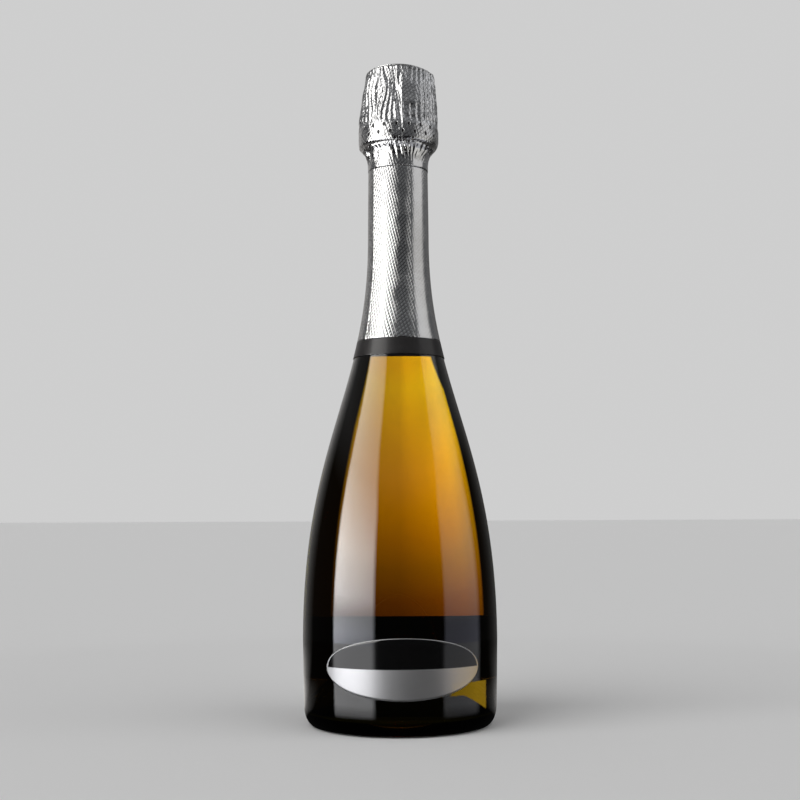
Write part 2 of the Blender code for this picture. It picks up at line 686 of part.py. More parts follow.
# Foil hood
def hood_outline():
    """The inner side of the hood from its tear line up, over the corner and in under the disc.

    Each row is (radius, height, share of the pleat depth, radius over the key's stem)."""
    hem_low = radius_at(GLASS_OUTLINE, TEAR_HEIGHT) + FIT
    crease = NECK_TOP_RADIUS + WIRE_FIT + 2 * FRAME_WIRE + HOOD_EASE
    stem_out = STEM_START + STEM_LENGTH + WIRE_FIT
    neck_half = (TEAR_HEIGHT + CREASE_HEIGHT) / 2
    shoulder = HOOD_TOP - HOOD_EDGE_ROUND
    head_side = BRIM_HEIGHT + CORK_HEAD_HEIGHT / 2
    taper_radius = (HOOD_WIDE_RADIUS + HOOD_HEAD_RADIUS) / 2
    taper_height = (RING_TOP + head_side) / 2
    corner = HOOD_CORNER_RADIUS - HOOD_EDGE_ROUND
    rows = [
        (hem_low, TEAR_HEIGHT, 0),
        (hem_low + HEM_EASE, neck_half, PLEAT_HEM_SHARE),
        (crease, CREASE_HEIGHT, PLEAT_CREASE_SHARE),
        (crease + FRAME_WIRE * 2, BELT_HEIGHT - BELT_WIRE - WIRE_FIT, 0),
        (HOOD_WIDE_RADIUS - FRAME_WIRE, RING_BOTTOM - WIRE_FIT, 0),
        (HOOD_WIDE_RADIUS, RING_BOTTOM + 2 * EDGE_ROUND, 0),
        (HOOD_WIDE_RADIUS, RING_TOP + WIRE_FIT, PLEAT_RING_SHARE),
        (taper_radius, taper_height, 1),
        (HOOD_HEAD_RADIUS, head_side, 1),
        (HOOD_CORNER_RADIUS, CAP_RIM_TOP - CAP_SKIRT, 1),
        (HOOD_CORNER_RADIUS - HOOD_EDGE_ROUND / 4, shoulder, PLEAT_CORNER_SHARE),
        (corner, HOOD_TOP - FIT, PLEAT_RING_SHARE),
        (HOOD_FOLD_RADIUS, HOOD_TOP, 0),
    ]
    over_stem = {3: stem_out, 4: stem_out}
    return [(*row, over_stem.get(index, row[0])) for index, row in enumerate(rows)]


def capsule_hood():
    """The pleated hood, gathered over the cage, with a bump where the key's stem is under it."""
    rows = hood_outline()

    def place(u, v):
        row = rows[round(v * (len(rows) - 1))]
        angle = u * 360
        pleat = (1 - math.cos(math.radians(angle * PLEAT_COUNT))) / 2
        off_key = abs((angle - KEY_ANGLE + 180) % 360 - 180)
        ridge = max(0, math.cos(min(off_key / RIDGE_HALF_ANGLE, 1) * math.pi / 2)) ** 0.5
        radius = row[0] + (max(row[3], row[0]) - row[0]) * ridge
        return at_angle(radius + PLEAT_DEPTH * row[2] * pleat, row[1], angle)

    return wrapped_sheet(
        "capsule_hood", place, HOOD_SEGMENTS, len(rows) - 1, FOIL, SILVER_FOIL, closed=True
    )


def capsule_top_disc():
    low = HOOD_TOP + FOIL + FIT
    outline = [
        (0, low + FOIL + TOP_DISC_DOME),
        (TOP_DISC_RADIUS * TOP_DISC_FLAT_SHARE, low + FOIL + TOP_DISC_DOME / 2),
        (TOP_DISC_RADIUS, low + FOIL),
        (TOP_DISC_RADIUS, low),
        (0, low),
    ]
    return turned("capsule_top_disc", outline, SILVER_FOIL, SMALL_SEGMENTS)


# Movers, empties on the joints' axes
def mover(name, place, parent=None):
    empty = bpy.data.objects.new(name, None)
    parts.objects.link(empty)
    empty.location = place
    empty["place"] = place
    if parent:
        empty.parent = parent
        empty.matrix_parent_inverse = Matrix.Translation(Vector(parent["place"])).inverted()
    return empty


def carry(parent, pieces):
    for piece in pieces:
        piece.parent = parent
        piece.matrix_parent_inverse = Matrix.Translation(Vector(parent["place"])).inverted()


def build():
    bottle_frame = mover("bottle_frame", (0, 0, 0))
    cork_mover = mover("cork_mover", (0, 0, BRIM_HEIGHT), bottle_frame)
    cage_mover = mover("cage_mover", (0, 0, BELT_HEIGHT), cork_mover)
    hood_mover = mover("hood_mover", (0, 0, TEAR_HEIGHT), cage_mover)
    stem_mover = mover("key_twist_axis", tuple(at_angle(STEM_START, BELT_HEIGHT, KEY_ANGLE)), cage_mover)
    key_mover = mover("key_fold_axis", tuple(at_angle(KEY_RADIUS, BELT_HEIGHT, KEY_ANGLE)), stem_mover)

    bottle = [glass_bottle(), wine_fill(), front_label(), back_label(), capsule_skirt(), neck_band()]
    carry(bottle_frame, bottle)

    disc_low = BRIM_HEIGHT - CORK_REACH
    cork = [
        cork_body(),
        cork_disc("cork_disc_upper", disc_low + CORK_DISC + FIT),
        cork_disc("cork_disc_lower", disc_low, CORK_CHAMFER),
    ]
    carry(cork_mover, cork)

    frame_section = pair_section("frame_pair_section", FRAME_WIRE)
    key_section = pair_section("key_pair_section", BELT_WIRE)
    legs = [cage_leg(number + 1, frame_section) for number in range(LEG_COUNT)]
    carry(cage_mover, [cage_cap(), cage_top_ring(), cage_belt(), *legs])
    carry(stem_mover, [key_stem(key_section)])
    carry(key_mover, [key_loop(key_section)])
    carry(hood_mover, [capsule_hood(), capsule_top_disc()])


build()
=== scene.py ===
import json
import math

import bpy
import numpy as np
from mathutils import Matrix, Vector

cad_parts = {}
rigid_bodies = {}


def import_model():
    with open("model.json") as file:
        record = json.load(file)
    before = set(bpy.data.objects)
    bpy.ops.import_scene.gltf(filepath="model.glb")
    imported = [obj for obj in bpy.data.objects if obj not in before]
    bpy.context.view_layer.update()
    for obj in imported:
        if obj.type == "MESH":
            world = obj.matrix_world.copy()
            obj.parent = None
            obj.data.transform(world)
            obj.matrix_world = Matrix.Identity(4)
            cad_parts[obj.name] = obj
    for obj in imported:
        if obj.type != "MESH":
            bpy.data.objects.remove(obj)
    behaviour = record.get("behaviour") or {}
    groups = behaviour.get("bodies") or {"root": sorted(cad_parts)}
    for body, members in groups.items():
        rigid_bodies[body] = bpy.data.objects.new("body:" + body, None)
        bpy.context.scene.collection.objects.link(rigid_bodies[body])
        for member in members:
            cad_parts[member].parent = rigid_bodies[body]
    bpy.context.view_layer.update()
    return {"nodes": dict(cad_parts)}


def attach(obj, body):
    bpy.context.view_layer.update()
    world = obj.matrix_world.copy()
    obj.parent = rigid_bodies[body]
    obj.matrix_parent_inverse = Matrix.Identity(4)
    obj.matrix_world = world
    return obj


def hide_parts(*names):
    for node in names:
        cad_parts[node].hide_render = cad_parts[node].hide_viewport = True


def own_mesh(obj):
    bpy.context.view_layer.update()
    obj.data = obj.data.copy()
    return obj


# A bottle of sparkling wine: dressed glass, wine, labels, foil capsule, wired cork.
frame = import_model()
sceneObjects = bpy.context.scene.collection.objects
print("stage: frame loaded,", len(frame["nodes"]), "nodes")

# The camera stands a little above the label's height and looks up at the bottle
camera = {
    "place": (0.0005, -0.6314, 0.101),
    "lens": 56.0,
    "tiltUp": 5.46,
    "roll": -0.264,
}


def placeCamera():
    data = bpy.data.cameras.new("camera")
    data.lens = camera["lens"]
    data.sensor_width = 36
    data.clip_start = 0.01
    held = bpy.data.objects.new("camera", data)
    sceneObjects.link(held)
    aim = Matrix.Rotation(math.radians(90 + camera["tiltUp"]), 4, "X")
    held.matrix_world = Matrix.Translation(camera["place"]) @ aim @ Matrix.Rotation(
        math.radians(camera["roll"]), 4, "Z"
    )
    bpy.context.scene.camera = held


placeCamera()

# Small helpers for node trees


def addNode(tree, kind, inputs=(), **settings):
    # Each input is another node's output, which is linked, or a value
    node = tree.nodes.new(kind)
    for setting, value in settings.items():
        setattr(node, setting, value)
    for socket, value in dict(inputs).items():
        if isinstance(value, bpy.types.NodeSocket):
            tree.links.new(value, node.inputs[socket])
        else:
            node.inputs[socket].default_value = value
    return node


def maths(tree, operation, first, second=0.0, third=0.0):
    values = {0: first, 1: second, 2: third}
    return addNode(tree, "ShaderNodeMath", values, operation=operation).outputs[0]


def rampOf(tree, factor, stops):
    # A colour ramp in straight lines. A stop is a place and a colour or a plain level.
    node = addNode(tree, "ShaderNodeValToRGB", {"Fac": factor})
    ramp = node.color_ramp
    while len(ramp.elements) < len(stops):
        ramp.elements.new(0.5)
    for element, (place, colour) in zip(ramp.elements, stops):
        element.position = place
        level = colour if isinstance(colour, tuple) else (colour, colour, colour)
        element.color = (*level, 1.0)
    return node.outputs["Color"]


def times(tree, first, *others):
    # The product of all the values
    for other in others:
        first = maths(tree, "MULTIPLY", first, other)
    return first


def plus(tree, first, *others):
    # The sum of all the values
    for other in others:
        first = maths(tree, "ADD", first, other)
    return first


def minus(tree, first, second):
    return maths(tree, "SUBTRACT", first, second)


def rangeOf(tree, value, low, high, toLow=0.0, toHigh=1.0):
    # A straight run from toLow at low to toHigh at high, held at both ends
    values = {"Value": value, 1: low, 2: high, 3: toLow, 4: toHigh}
    return addNode(tree, "ShaderNodeMapRange", values).outputs[0]


def mixOf(tree, share, first, second):
    # The first colour times one less the share, plus the second times the share
    colours = [(*each, 1.0) if isinstance(each, tuple) else each for each in (first, second)]
    values = {0: share, 6: colours[0], 7: colours[1]}
    return addNode(tree, "ShaderNodeMix", values, data_type="RGBA").outputs[2]


def objectPlace(tree):
    # The place on Object coordinates and its parts along X, Y and Z
    place = addNode(tree, "ShaderNodeTexCoord").outputs["Object"]
    return place, addNode(tree, "ShaderNodeSeparateXYZ", {0: place}).outputs


def turnOf(tree, axes):
    # The share of a whole turn round the upright axis, from -0.5 to 0.5
    return maths(tree, "DIVIDE", maths(tree, "ARCTAN2", axes[1], axes[0]), math.tau)


def startMaterial(name):
    material = bpy.data.materials.new(name)
    material.use_nodes = True
    tree = material.node_tree
    shader = tree.nodes["Principled BSDF"]
    return material, tree, shader


def setShader(shader, **values):
    for name, value in values.items():
        socket = shader.inputs["".join(" " + c if c.isupper() else c for c in name).strip().title()]
        if isinstance(value, bpy.types.NodeSocket):
            shader.id_data.links.new(value, socket)
        elif isinstance(value, tuple):
            socket.default_value = (*value, 1.0)
        else:
            socket.default_value = value


def bumpOf(tree, height, distance, strength=1.0, normal=None):
    values = {"Height": height, "Distance": distance, "Strength": strength}
    if normal is not None:
        values["Normal"] = normal
    return addNode(tree, "ShaderNodeBump", values).outputs["Normal"]


def startGroup(name, inputs, outputs):
    # inputs are (name, default), outputs are names of plain values
    group = bpy.data.node_groups.new(name, "ShaderNodeTree")
    for label, value in inputs:
        socket = group.interface.new_socket(label, in_out="INPUT", socket_type="NodeSocketFloat")
        socket.default_value = value
    for label in outputs:
        group.interface.new_socket(label, in_out="OUTPUT", socket_type="NodeSocketFloat")
    start = group.nodes.new("NodeGroupInput")
    end = group.nodes.new("NodeGroupOutput")
    return group, start.outputs, end.inputs


def useGroup(tree, group, **values):
    node = tree.nodes.new("ShaderNodeGroup")
    node.node_tree = group
    for name, value in values.items():
        node.inputs[name].default_value = value
    return node.outputs


def makeDiamondGroup():
    # Foil embossing: two sets of grooves cross on the turned sheet, one slanting and one steep.
    # With m the lower of their two triangle waves, the height is m * (2 - m), a pillow.
    inputs = [("Slanting", 50.0), ("SlantPitch", 0.0021), ("Steep", 69.0), ("SteepPitch", 0.0055)]
    group, start, end = startGroup("diamondEmboss", inputs, ["Height"])
    axes = objectPlace(group)[1]
    turn = turnOf(group, axes)
    ridges = []
    for around, pitch, way in (("Slanting", "SlantPitch", "SUBTRACT"), ("Steep", "SteepPitch", "ADD")):
        up = maths(group, "DIVIDE", axes[2], start[pitch])
        phase = maths(group, way, times(group, turn, start[around]), up)
        ridges.append(maths(group, "PINGPONG", phase, 0.5))
    low = times(group, maths(group, "MINIMUM", *ridges), 2.0)
    group.links.new(times(group, low, minus(group, 2.0, low)), end["Height"])
    return group


def makePinholeGroup():
    # Rows of small upright ovals round the sheet, every second row moved on by half a step.
    # Mask is one inside an oval: across and along are the place in a cell over the oval's size.
    inputs = [("Around", 20.0), ("Offset", 0.1), ("Low", 0.2960), ("Step", 0.0038), ("Rows", 2.0)]
    inputs += [("CellsAcross", 9.0), ("CellsAlong", 3.6)]
    group, start, end = startGroup("pinholes", inputs, ["Mask"])
    axes = objectPlace(group)[1]
    up = maths(group, "DIVIDE", minus(group, axes[2], start["Low"]), start["Step"])
    row = maths(group, "ROUND", up)
    column = maths(group, "MULTIPLY_ADD", turnOf(group, axes), start["Around"], start["Offset"])
    column = maths(group, "MULTIPLY_ADD", row, 0.5, column)
    across = times(group, minus(group, maths(group, "FRACT", column), 0.5), start["CellsAcross"])
    along = times(group, minus(group, up, row), start["CellsAlong"])
    far = plus(group, times(group, across, across), times(group, along, along))
    inside = rangeOf(group, far, 0.7, 1.2, 1.0, 0.0)
    fromFirst = maths(group, "GREATER_THAN", row, -0.5)
    toLast = maths(group, "LESS_THAN", row, start["Rows"])
    group.links.new(times(group, inside, fromFirst, toLast), end["Mask"])
    return group


def makeGrainGroup():
    # Fine unevenness: fractal noise in object space, spread to 0..1
    group, start, end = startGroup("surfaceGrain", [("Scale", 400.0), ("Detail", 4.0)], ["Value"])
    values = {"Vector": objectPlace(group)[0], "Scale": start["Scale"], "Detail": start["Detail"]}
    noise = addNode(group, "ShaderNodeTexNoise", values)
    group.links.new(rangeOf(group, noise.outputs["Fac"], 0.3, 0.7), end["Value"])
    return group


def grainOf(tree, scale, detail):
    return useGroup(tree, grainGroup, Scale=scale, Detail=detail)["Value"]


diamondGroup = makeDiamondGroup()
grainGroup = makeGrainGroup()
pinholeGroup = makePinholeGroup()

# Studio: a pale floor and background, soft lamps, and rings and discs of light that only
# polished and clear surfaces see. Every angle is in degrees from straight behind the bottle
# towards +X. A span holds its two edges and how soft each is. Fade and climb hold colours at
# shares of the height. A four is a run: from one place to another, from one value to another.
studio = {
    "floorColour": (0.80, 0.80, 0.80),
    "backgroundColour": (0.62, 0.62, 0.62),
    "fillLevel": 0.45,
    "panelRadius": 0.45,
    "panelTop": 1.10,
    "panelFades": (0.78, 0.92),
    "leftPanel": 7.84,
    "leftNearEnd": (-148.0, -108.0, 0.55),
    "leftWidens": 3.7,
    "leftSpan": (-147.5, -100.5, 2.5, 1.5),
    "leftFade": [
        (0.0, (0.34, 0.35, 0.385)), (0.02, (0.45, 0.46, 0.50)), (0.043, (0.43, 0.435, 0.45)),
        (0.075, (0.89, 0.89, 0.89)), (0.145, (0.99, 0.98, 0.95)), (0.218, (0.70, 0.69, 0.66)),
        (0.29, (0.46, 0.455, 0.44)), (0.35, (0.41, 0.405, 0.395)), (0.455, (0.33, 0.328, 0.322)),
        (0.8, (0.30, 0.298, 0.294)),
    ],
    "rightPanel": 0.76,
    "rightSpan": (80.0, 129.5, 4.0, 2.0),
    "rightFade": [
        (0.0, (0.42, 0.43, 0.53)), (0.03, (0.42, 0.43, 0.52)), (0.08, (0.80, 0.80, 0.80)),
        (0.145, (0.92, 0.91, 0.88)), (0.218, (0.72, 0.71, 0.68)), (0.29, (0.42, 0.41, 0.39)),
        (0.32, (0.50, 0.49, 0.47)), (0.36, (0.72, 0.71, 0.71)), (0.44, (0.60, 0.60, 0.61)),
        (0.8, (0.50, 0.51, 0.53)),
    ],
    "neckHeights": (0.25, 0.39),
    "rightMoves": 6.5,
    "rightMovesOn": (0.42, 0.5, 0.0, 8.0),
    "glowColour": (1.0, 0.97, 0.94),
    "glowFades": (30.0, 62.0),
    "glowRises": (0.10, 0.35, 0.45, 1.0),
    "rimGlow": (0.42, 0.10),
    "leftToRight": (-20.0, 20.0),
    "dimColour": (0.98, 1.0, 1.04),
    "dimHeights": (0.25, 0.34),
    "dim": (0.008, 0.085),
    "dimAbove": (0.50, 0.62, 0.0, 0.11),
    "windowRadius": 0.44,
    "windowStrength": 8.5556,
    "windowSpan": (-29.0, 17.8, 1.0, 1.0),
    "windowTop": 0.25,
    "windowClimb": [
        (0.0, (0.015, 0.008, 0.01)), (0.08, (0.046, 0.035, 0.02)), (0.14, (0.083, 0.084, 0.04)),
        (0.19, (0.142, 0.140, 0.08)), (0.237, (0.205, 0.210, 0.10)), (0.289, (0.262, 0.263, 0.12)),
        (0.34, (0.295, 0.300, 0.15)), (0.415, (0.355, 0.360, 0.20)), (0.515, (0.415, 0.42, 0.26)),
        (0.62, (0.43, 0.36, 0.28)),
    ],
    "windowLean": [
        (0.0, 1.0), (0.36, 0.96), (0.43, 0.78), (0.51, 0.55), (0.615, 0.325), (0.73, 0.29), (1.0, 0.26),
    ],
    "windowLeans": (-40.0, 25.0),
    "windowNarrows": [(0.05, 0.10, 0.0, 0.12), (0.10, 0.16, 0.0, 0.5)],
    "windowNarrowsRight": (0.08, 0.16, 0.0, 0.18),
    "windowCorner": [(0.065, 0.10, 0.0, 0.32), (-9.0, -3.0, 1.0, 0.0)],
    "windowEnds": (0.176, 0.19),
    "windowDim": (0.004, 0.004, 0.004),
}


def makeWorld():
    world = bpy.data.worlds.new("studioAir")
    bpy.context.scene.world = world
    world.use_nodes = True
    tree = world.node_tree
    back = tree.nodes["Background"]
    rays = addNode(tree, "ShaderNodeLightPath").outputs
    seen = maths(tree, "MAXIMUM", rays["Is Camera Ray"], rays["Is Glossy Ray"])
    seen = maths(tree, "MAXIMUM", seen, rays["Is Transmission Ray"])
    back.inputs["Color"].default_value = (*studio["backgroundColour"], 1.0)
    strength = rangeOf(tree, seen, 0.0, 1.0, studio["fillLevel"], 1.0)
    tree.links.new(strength, back.inputs["Strength"])


def makeFloor():
    size = 60.0
    mesh = bpy.data.meshes.new("floor")
    corners = [(-size, -size, 0), (size, -size, 0), (size, size, 0), (-size, size, 0)]
    mesh.from_pydata(corners, [], [(0, 1, 2, 3)])
    floor = bpy.data.objects.new("floor", mesh)
    sceneObjects.link(floor)
    material, tree, shader = startMaterial("floorPaper")
    setShader(shader, baseColor=studio["floorColour"], roughness=0.9)
    shader.inputs["Specular IOR Level"].default_value = 0.1
    mesh.materials.append(material)


def makeLamp(name, direction, softness, level):
    # A far lamp, as wide as softness in degrees, that shines from a direction
    data = bpy.data.lights.new(name, "SUN")
    data.angle = math.radians(softness)
    data.energy = level
    lamp = bpy.data.objects.new(name, data)
    sceneObjects.link(lamp)
    lamp.rotation_euler = (-Vector(direction)).to_track_quat("-Z", "Y").to_euler()
    lamp.visible_glossy = False
    lamp.visible_transmission = False
    lamp.visible_camera = False


def panelBand(tree, value, low, high, softLow, softHigh):
    # One between low and high, falling to zero over twice the softness of each edge
    rise = rangeOf(tree, value, low - softLow, low + softLow)
    fall = rangeOf(tree, value, high - softHigh, high + softHigh, 1.0, 0.0)
    return times(tree, rise, fall)


def litBy(tree, colour, mask):
    # A colour times a number
    return addNode(tree, "ShaderNodeVectorMath", {0: colour, 3: mask}, operation="SCALE").outputs[0]


def plusLight(tree, first, *others):
    for other in others:
        values = {0: first, 1: other}
        first = addNode(tree, "ShaderNodeVectorMath", values, operation="ADD").outputs[0]
    return first


def startPanel(name, points, faces, polished=True, clear=True):
    # A stage surface that lamps, shadows and the camera pass through. polished and clear say
    # whether reflections and refractions see it.
    mesh = bpy.data.meshes.new(name)
    mesh.from_pydata(points.tolist(), [], faces)
    panel = bpy.data.objects.new(name, mesh)
    sceneObjects.link(panel)
    panel.visible_camera = False
    panel.visible_diffuse = False
    panel.visible_shadow = False
    panel.visible_glossy = polished
    panel.visible_transmission = clear
    material = bpy.data.materials.new(name + "Light")
    material.use_nodes = True
    mesh.materials.append(material)
    tree = material.node_tree
    tree.nodes.clear()
    axes = objectPlace(tree)[1]
    angle = times(tree, maths(tree, "ARCTAN2", axes[0], axes[1]), 180 / math.pi)
    return tree, axes[2], angle


def endPanel(tree, dim, light=(0.0, 0.0, 0.0)):
    light = plusLight(tree, light, dim)
    glow = addNode(tree, "ShaderNodeEmission", {"Color": light, "Strength": 1.0})
    end = addNode(tree, "ShaderNodeOutputMaterial")
    tree.links.new(glow.outputs[0], end.inputs["Surface"])


def startDisc(name, radius, height, **seenBy):
    sides = 96
    turn = fullTurn(sides)
    points = np.column_stack([np.sin(turn) * radius, -np.cos(turn) * radius, np.full(sides, height)])
    return startPanel(name, points, [tuple(range(sides))], **seenBy)


def startRing(name, radius, top, **seenBy):
    sides, low = 240, 0.0005
    turn = fullTurn(sides)
    rim = np.stack([np.sin(turn), np.cos(turn)], axis=1) * radius
    edges = [np.column_stack([rim, np.full(sides, height)]) for height in (low, top)]
    return startPanel(name, np.concatenate(edges), gridFaces(2, sides, True).tolist(), **seenBy)


def glowBehind(tree, angle, share):
    behind = rangeOf(tree, maths(tree, "ABSOLUTE", angle), *studio["glowFades"], 1.0, 0.0)
    side = rangeOf(tree, angle, *studio["leftToRight"], *studio["rimGlow"])
    return litBy(tree, studio["glowColour"], times(tree, behind, times(tree, side, share)))


# The cards on the floor: two strips of light, which go on from the panels, a gold patch and a
# glow in reflections, and a dark card and a dark ring round the foot for the clear pieces.
# An edge holds its reflection's distance from the axis and the lean it has far away. Reaches
# are distances from the axis.
cards = {
    "heights": (0.0006, 0.0008),
    "darkRadius": 0.449,
    "foot": (0.0503, 0.0360),
    "leftEdges": [(0.0125, -1.6), (0.034, -4.3)],
    "rightEdges": [(0.0204, -2.6), (0.0406, -5.2)],
    "leftWidens": 3.7,
    "rightWidens": 1.5,
    "beyond": (40.0, 60.0),
    "stripStarts": (0.07, 0.12),
    "left": (1.9, (1.0, 1.0, 1.02)),
    "right": (0.42, (0.98, 0.99, 1.04)),
    "goldColour": (1.7, 1.02, 0.05),
    "goldStarts": (66.0, 102.0, 0.092, 0.146),
    "goldEdge": (-0.002, 0.002),
    "goldSpan": (65.0, 118.0, 1.5, 1.5),
    "goldEnds": (0.190, 0.195),
    "goldRises": (66.0, 84.0, 0.6, 1.0),
    "goldRay": (0.22, 0.23),
    "glowFalls": (0.12, 0.40, 1.4, 0.45),
    "besideFades": (50.0, 84.0),
    "besideReach": (0.08, 0.20),
    "beside": (0.35, 0.18),
    "starts": (0.047, 0.056),
}


def leaningEdges(tree, angle, reach, way, edges):
    # A strip leans inwards near the bottle, so that it stays upright on the glass: each edge
    # by the angle whose sine is its reflection's distance from the axis over the reach
    leaning = []
    for across, rest in edges:
        lean = maths(tree, "ARCSINE", maths(tree, "DIVIDE", across, reach))
        lean = maths(tree, "MULTIPLY_ADD", lean, math.degrees(1), rest)
        leaning.append(maths(tree, way, angle, lean))
    return leaning


def makeTableCard():
    # Each strip is where the band that its inner edge ends meets the one that its outer edge ends
    tree, height, angle = startDisc("tableCard", studio["panelRadius"], cards["heights"][0], clear=False)
    place = objectPlace(tree)[0]
    reach = addNode(tree, "ShaderNodeVectorMath", {0: place}, operation="LENGTH").outputs["Value"]
    far = rangeOf(tree, reach, *cards["stripStarts"])
    inner, outer = leaningEdges(tree, angle, reach, "ADD", cards["leftEdges"])
    more, most = cards["beyond"]
    low, high, *soft = studio["leftSpan"]
    left = panelBand(tree, inner, low - cards["leftWidens"], high + more, *soft)
    left = times(tree, left, panelBand(tree, outer, low - most, high, *soft), far)
    inner, outer = leaningEdges(tree, angle, reach, "SUBTRACT", cards["rightEdges"])
    low, high, *soft = studio["rightSpan"]
    right = panelBand(tree, inner, low - more, high + cards["rightWidens"], *soft)
    right = times(tree, right, panelBand(tree, outer, low, high + most, *soft), far)
    # The gold light that the wine throws on the table at the right. Only the glass just above
    # it shows it: a ray from the foil is longer.
    rayLength = addNode(tree, "ShaderNodeLightPath").outputs["Ray Length"]
    past = minus(tree, reach, rangeOf(tree, outer, *cards["goldStarts"]))
    gold = times(
        tree,
        rangeOf(tree, past, *cards["goldEdge"]),
        rangeOf(tree, reach, *cards["goldEnds"], 1.0, 0.0),
        panelBand(tree, outer, *cards["goldSpan"]),
        rangeOf(tree, rayLength, *cards["goldRay"], 1.0, 0.0),
    )
    right = times(tree, right, minus(tree, 1.0, gold))
    strips = [
        litBy(tree, colour, times(tree, strip, level))
        for strip, (level, colour) in ((left, cards["left"]), (right, cards["right"]))
    ]
    gold = litBy(tree, cards["goldColour"], times(tree, gold, rangeOf(tree, outer, *cards["goldRises"])))
    behind = glowBehind(tree, angle, rangeOf(tree, reach, *cards["glowFalls"]))
    beside = times(
        tree,
        rangeOf(tree, maths(tree, "ABSOLUTE", angle), *cards["besideFades"], 1.0, 0.0),
        rangeOf(tree, reach, *cards["besideReach"], 1.0, 0.0),
        rangeOf(tree, angle, *studio["leftToRight"], *cards["beside"]),
    )
    light = plusLight(tree, *strips, gold, behind, litBy(tree, studio["glowColour"], beside))
    # From below, where the floor's own sheen sees it, the card gives no light
    above = minus(tree, 1.0, addNode(tree, "ShaderNodeNewGeometry").outputs["Backfacing"])
    above = times(tree, above, rangeOf(tree, reach, *cards["starts"]))
    endPanel(tree, (0.5 * studio["dim"][0],) * 3, litBy(tree, light, above))


def makeCards():
    # The dim card in the end closes the panel ring's top
    makeTableCard()
    dark = startDisc("darkCard", cards["darkRadius"], cards["heights"][1], polished=False)
    endPanel(dark[0], studio["windowDim"])
    foot = startRing("footCard", *cards["foot"], polished=False)
    endPanel(foot[0], studio["windowDim"])
    ceiling = startDisc("ceilingCard", studio["panelRadius"], studio["panelTop"])
    endPanel(ceiling[0], (studio["dim"][1],) * 3)


def makePanelRing():
    # What reflections see: the two panels, each fading with height, and a faint glow behind.
    # The left panel is dimmer at its near end and wider below the neck, and the right one
    # moves towards the back at the neck and again above it.
    tree, height, angle = startRing("panelRing", studio["panelRadius"], studio["panelTop"], clear=False)
    share = maths(tree, "DIVIDE", height, studio["panelTop"])
    tall = rangeOf(tree, height, *studio["panelFades"], 1.0, 0.0)
    starts, full, least = studio["leftNearEnd"]
    near = rangeOf(tree, angle, starts, full, least * studio["leftPanel"], studio["leftPanel"])
    wider = plus(tree, angle, rangeOf(tree, height, *studio["neckHeights"], studio["leftWidens"], 0.0))
    left = [panelBand(tree, each, *studio["leftSpan"]) for each in (angle, wider)]
    left = times(tree, maths(tree, "MAXIMUM", *left), tall, near)
    left = litBy(tree, rampOf(tree, share, studio["leftFade"]), left)
    moved = rangeOf(tree, height, *studio["neckHeights"], 0.0, studio["rightMoves"])
    moved = plus(tree, moved, rangeOf(tree, height, *studio["rightMovesOn"]), angle)
    right = times(tree, panelBand(tree, moved, *studio["rightSpan"]), tall, studio["rightPanel"])
    right = litBy(tree, rampOf(tree, share, studio["rightFade"]), right)
    behind = glowBehind(tree, angle, rangeOf(tree, height, *studio["glowRises"]))
    dim = rangeOf(tree, height, *studio["dimHeights"], *studio["dim"])
    dim = plus(tree, dim, rangeOf(tree, height, *studio["dimAbove"]))
    dim = litBy(tree, studio["dimColour"], dim)
    endPanel(tree, dim, plusLight(tree, left, right, behind))


def makeWindowRing():
    # What shows through the clear pieces: a window behind the bottle, brighter upwards and to
    # the left, in a dark room. It narrows upwards, more on its left side, and its upper left
    # corner is dimmer.
    tree, height, angle = startRing("windowRing", studio["windowRadius"], studio["panelTop"], polished=False)
    climb = rampOf(tree, maths(tree, "DIVIDE", height, studio["windowTop"]), studio["windowClimb"])
    lean = rampOf(tree, rangeOf(tree, angle, *studio["windowLeans"]), studio["windowLean"])
    drawnLeft = plus(tree, *(rangeOf(tree, height, *each) for each in studio["windowNarrows"]))
    drawnLeft = times(tree, maths(tree, "MINIMUM", angle, 0.0), drawnLeft)
    drawnRight = rangeOf(tree, height, *studio["windowNarrowsRight"])
    drawnRight = times(tree, maths(tree, "MAXIMUM", angle, 0.0), drawnRight)
    band = panelBand(tree, plus(tree, angle, plus(tree, drawnLeft, drawnRight)), *studio["windowSpan"])
    upper, left = studio["windowCorner"]
    corner = times(tree, rangeOf(tree, height, *upper), rangeOf(tree, angle, *left))
    share = times(
        tree,
        band,
        studio["windowStrength"],
        rangeOf(tree, height, *studio["windowEnds"], 1.0, 0.0),
        minus(tree, 1.0, corner),
    )
    endPanel(tree, studio["windowDim"], litBy(tree, climb, times(tree, lean, share)))


# Grid meshes. A grid is an array of points, rows by columns.


def fullTurn(count):
    return np.linspace(0, math.tau, count, endpoint=False)


def roundAxis(radius, turn, height):
    # Points at a radius and a height round the upright axis
    return np.stack(np.broadcast_arrays(radius * np.cos(turn), radius * np.sin(turn), height), axis=-1)


def atAngle(radius, height, degrees):
    return roundAxis(radius, np.radians(degrees), height)


def bearingOf(turn):
    # Degrees from the front towards +X
    return np.degrees(np.arctan2(np.cos(turn), -np.sin(turn)))


def signedVolume(points, faces):
    # A sixth of the triple product of every face's corners, positive where faces look outwards
    a, b, c = points[faces[:, 0]], points[faces[:, 1]], points[faces[:, 2]]
    volume = np.einsum("ij,ij->i", a, np.cross(b, c)).sum()
    if faces.shape[1] == 4:
        d = points[faces[:, 3]]
        volume += np.einsum("ij,ij->i", a, np.cross(c, d)).sum()
    return volume / 6


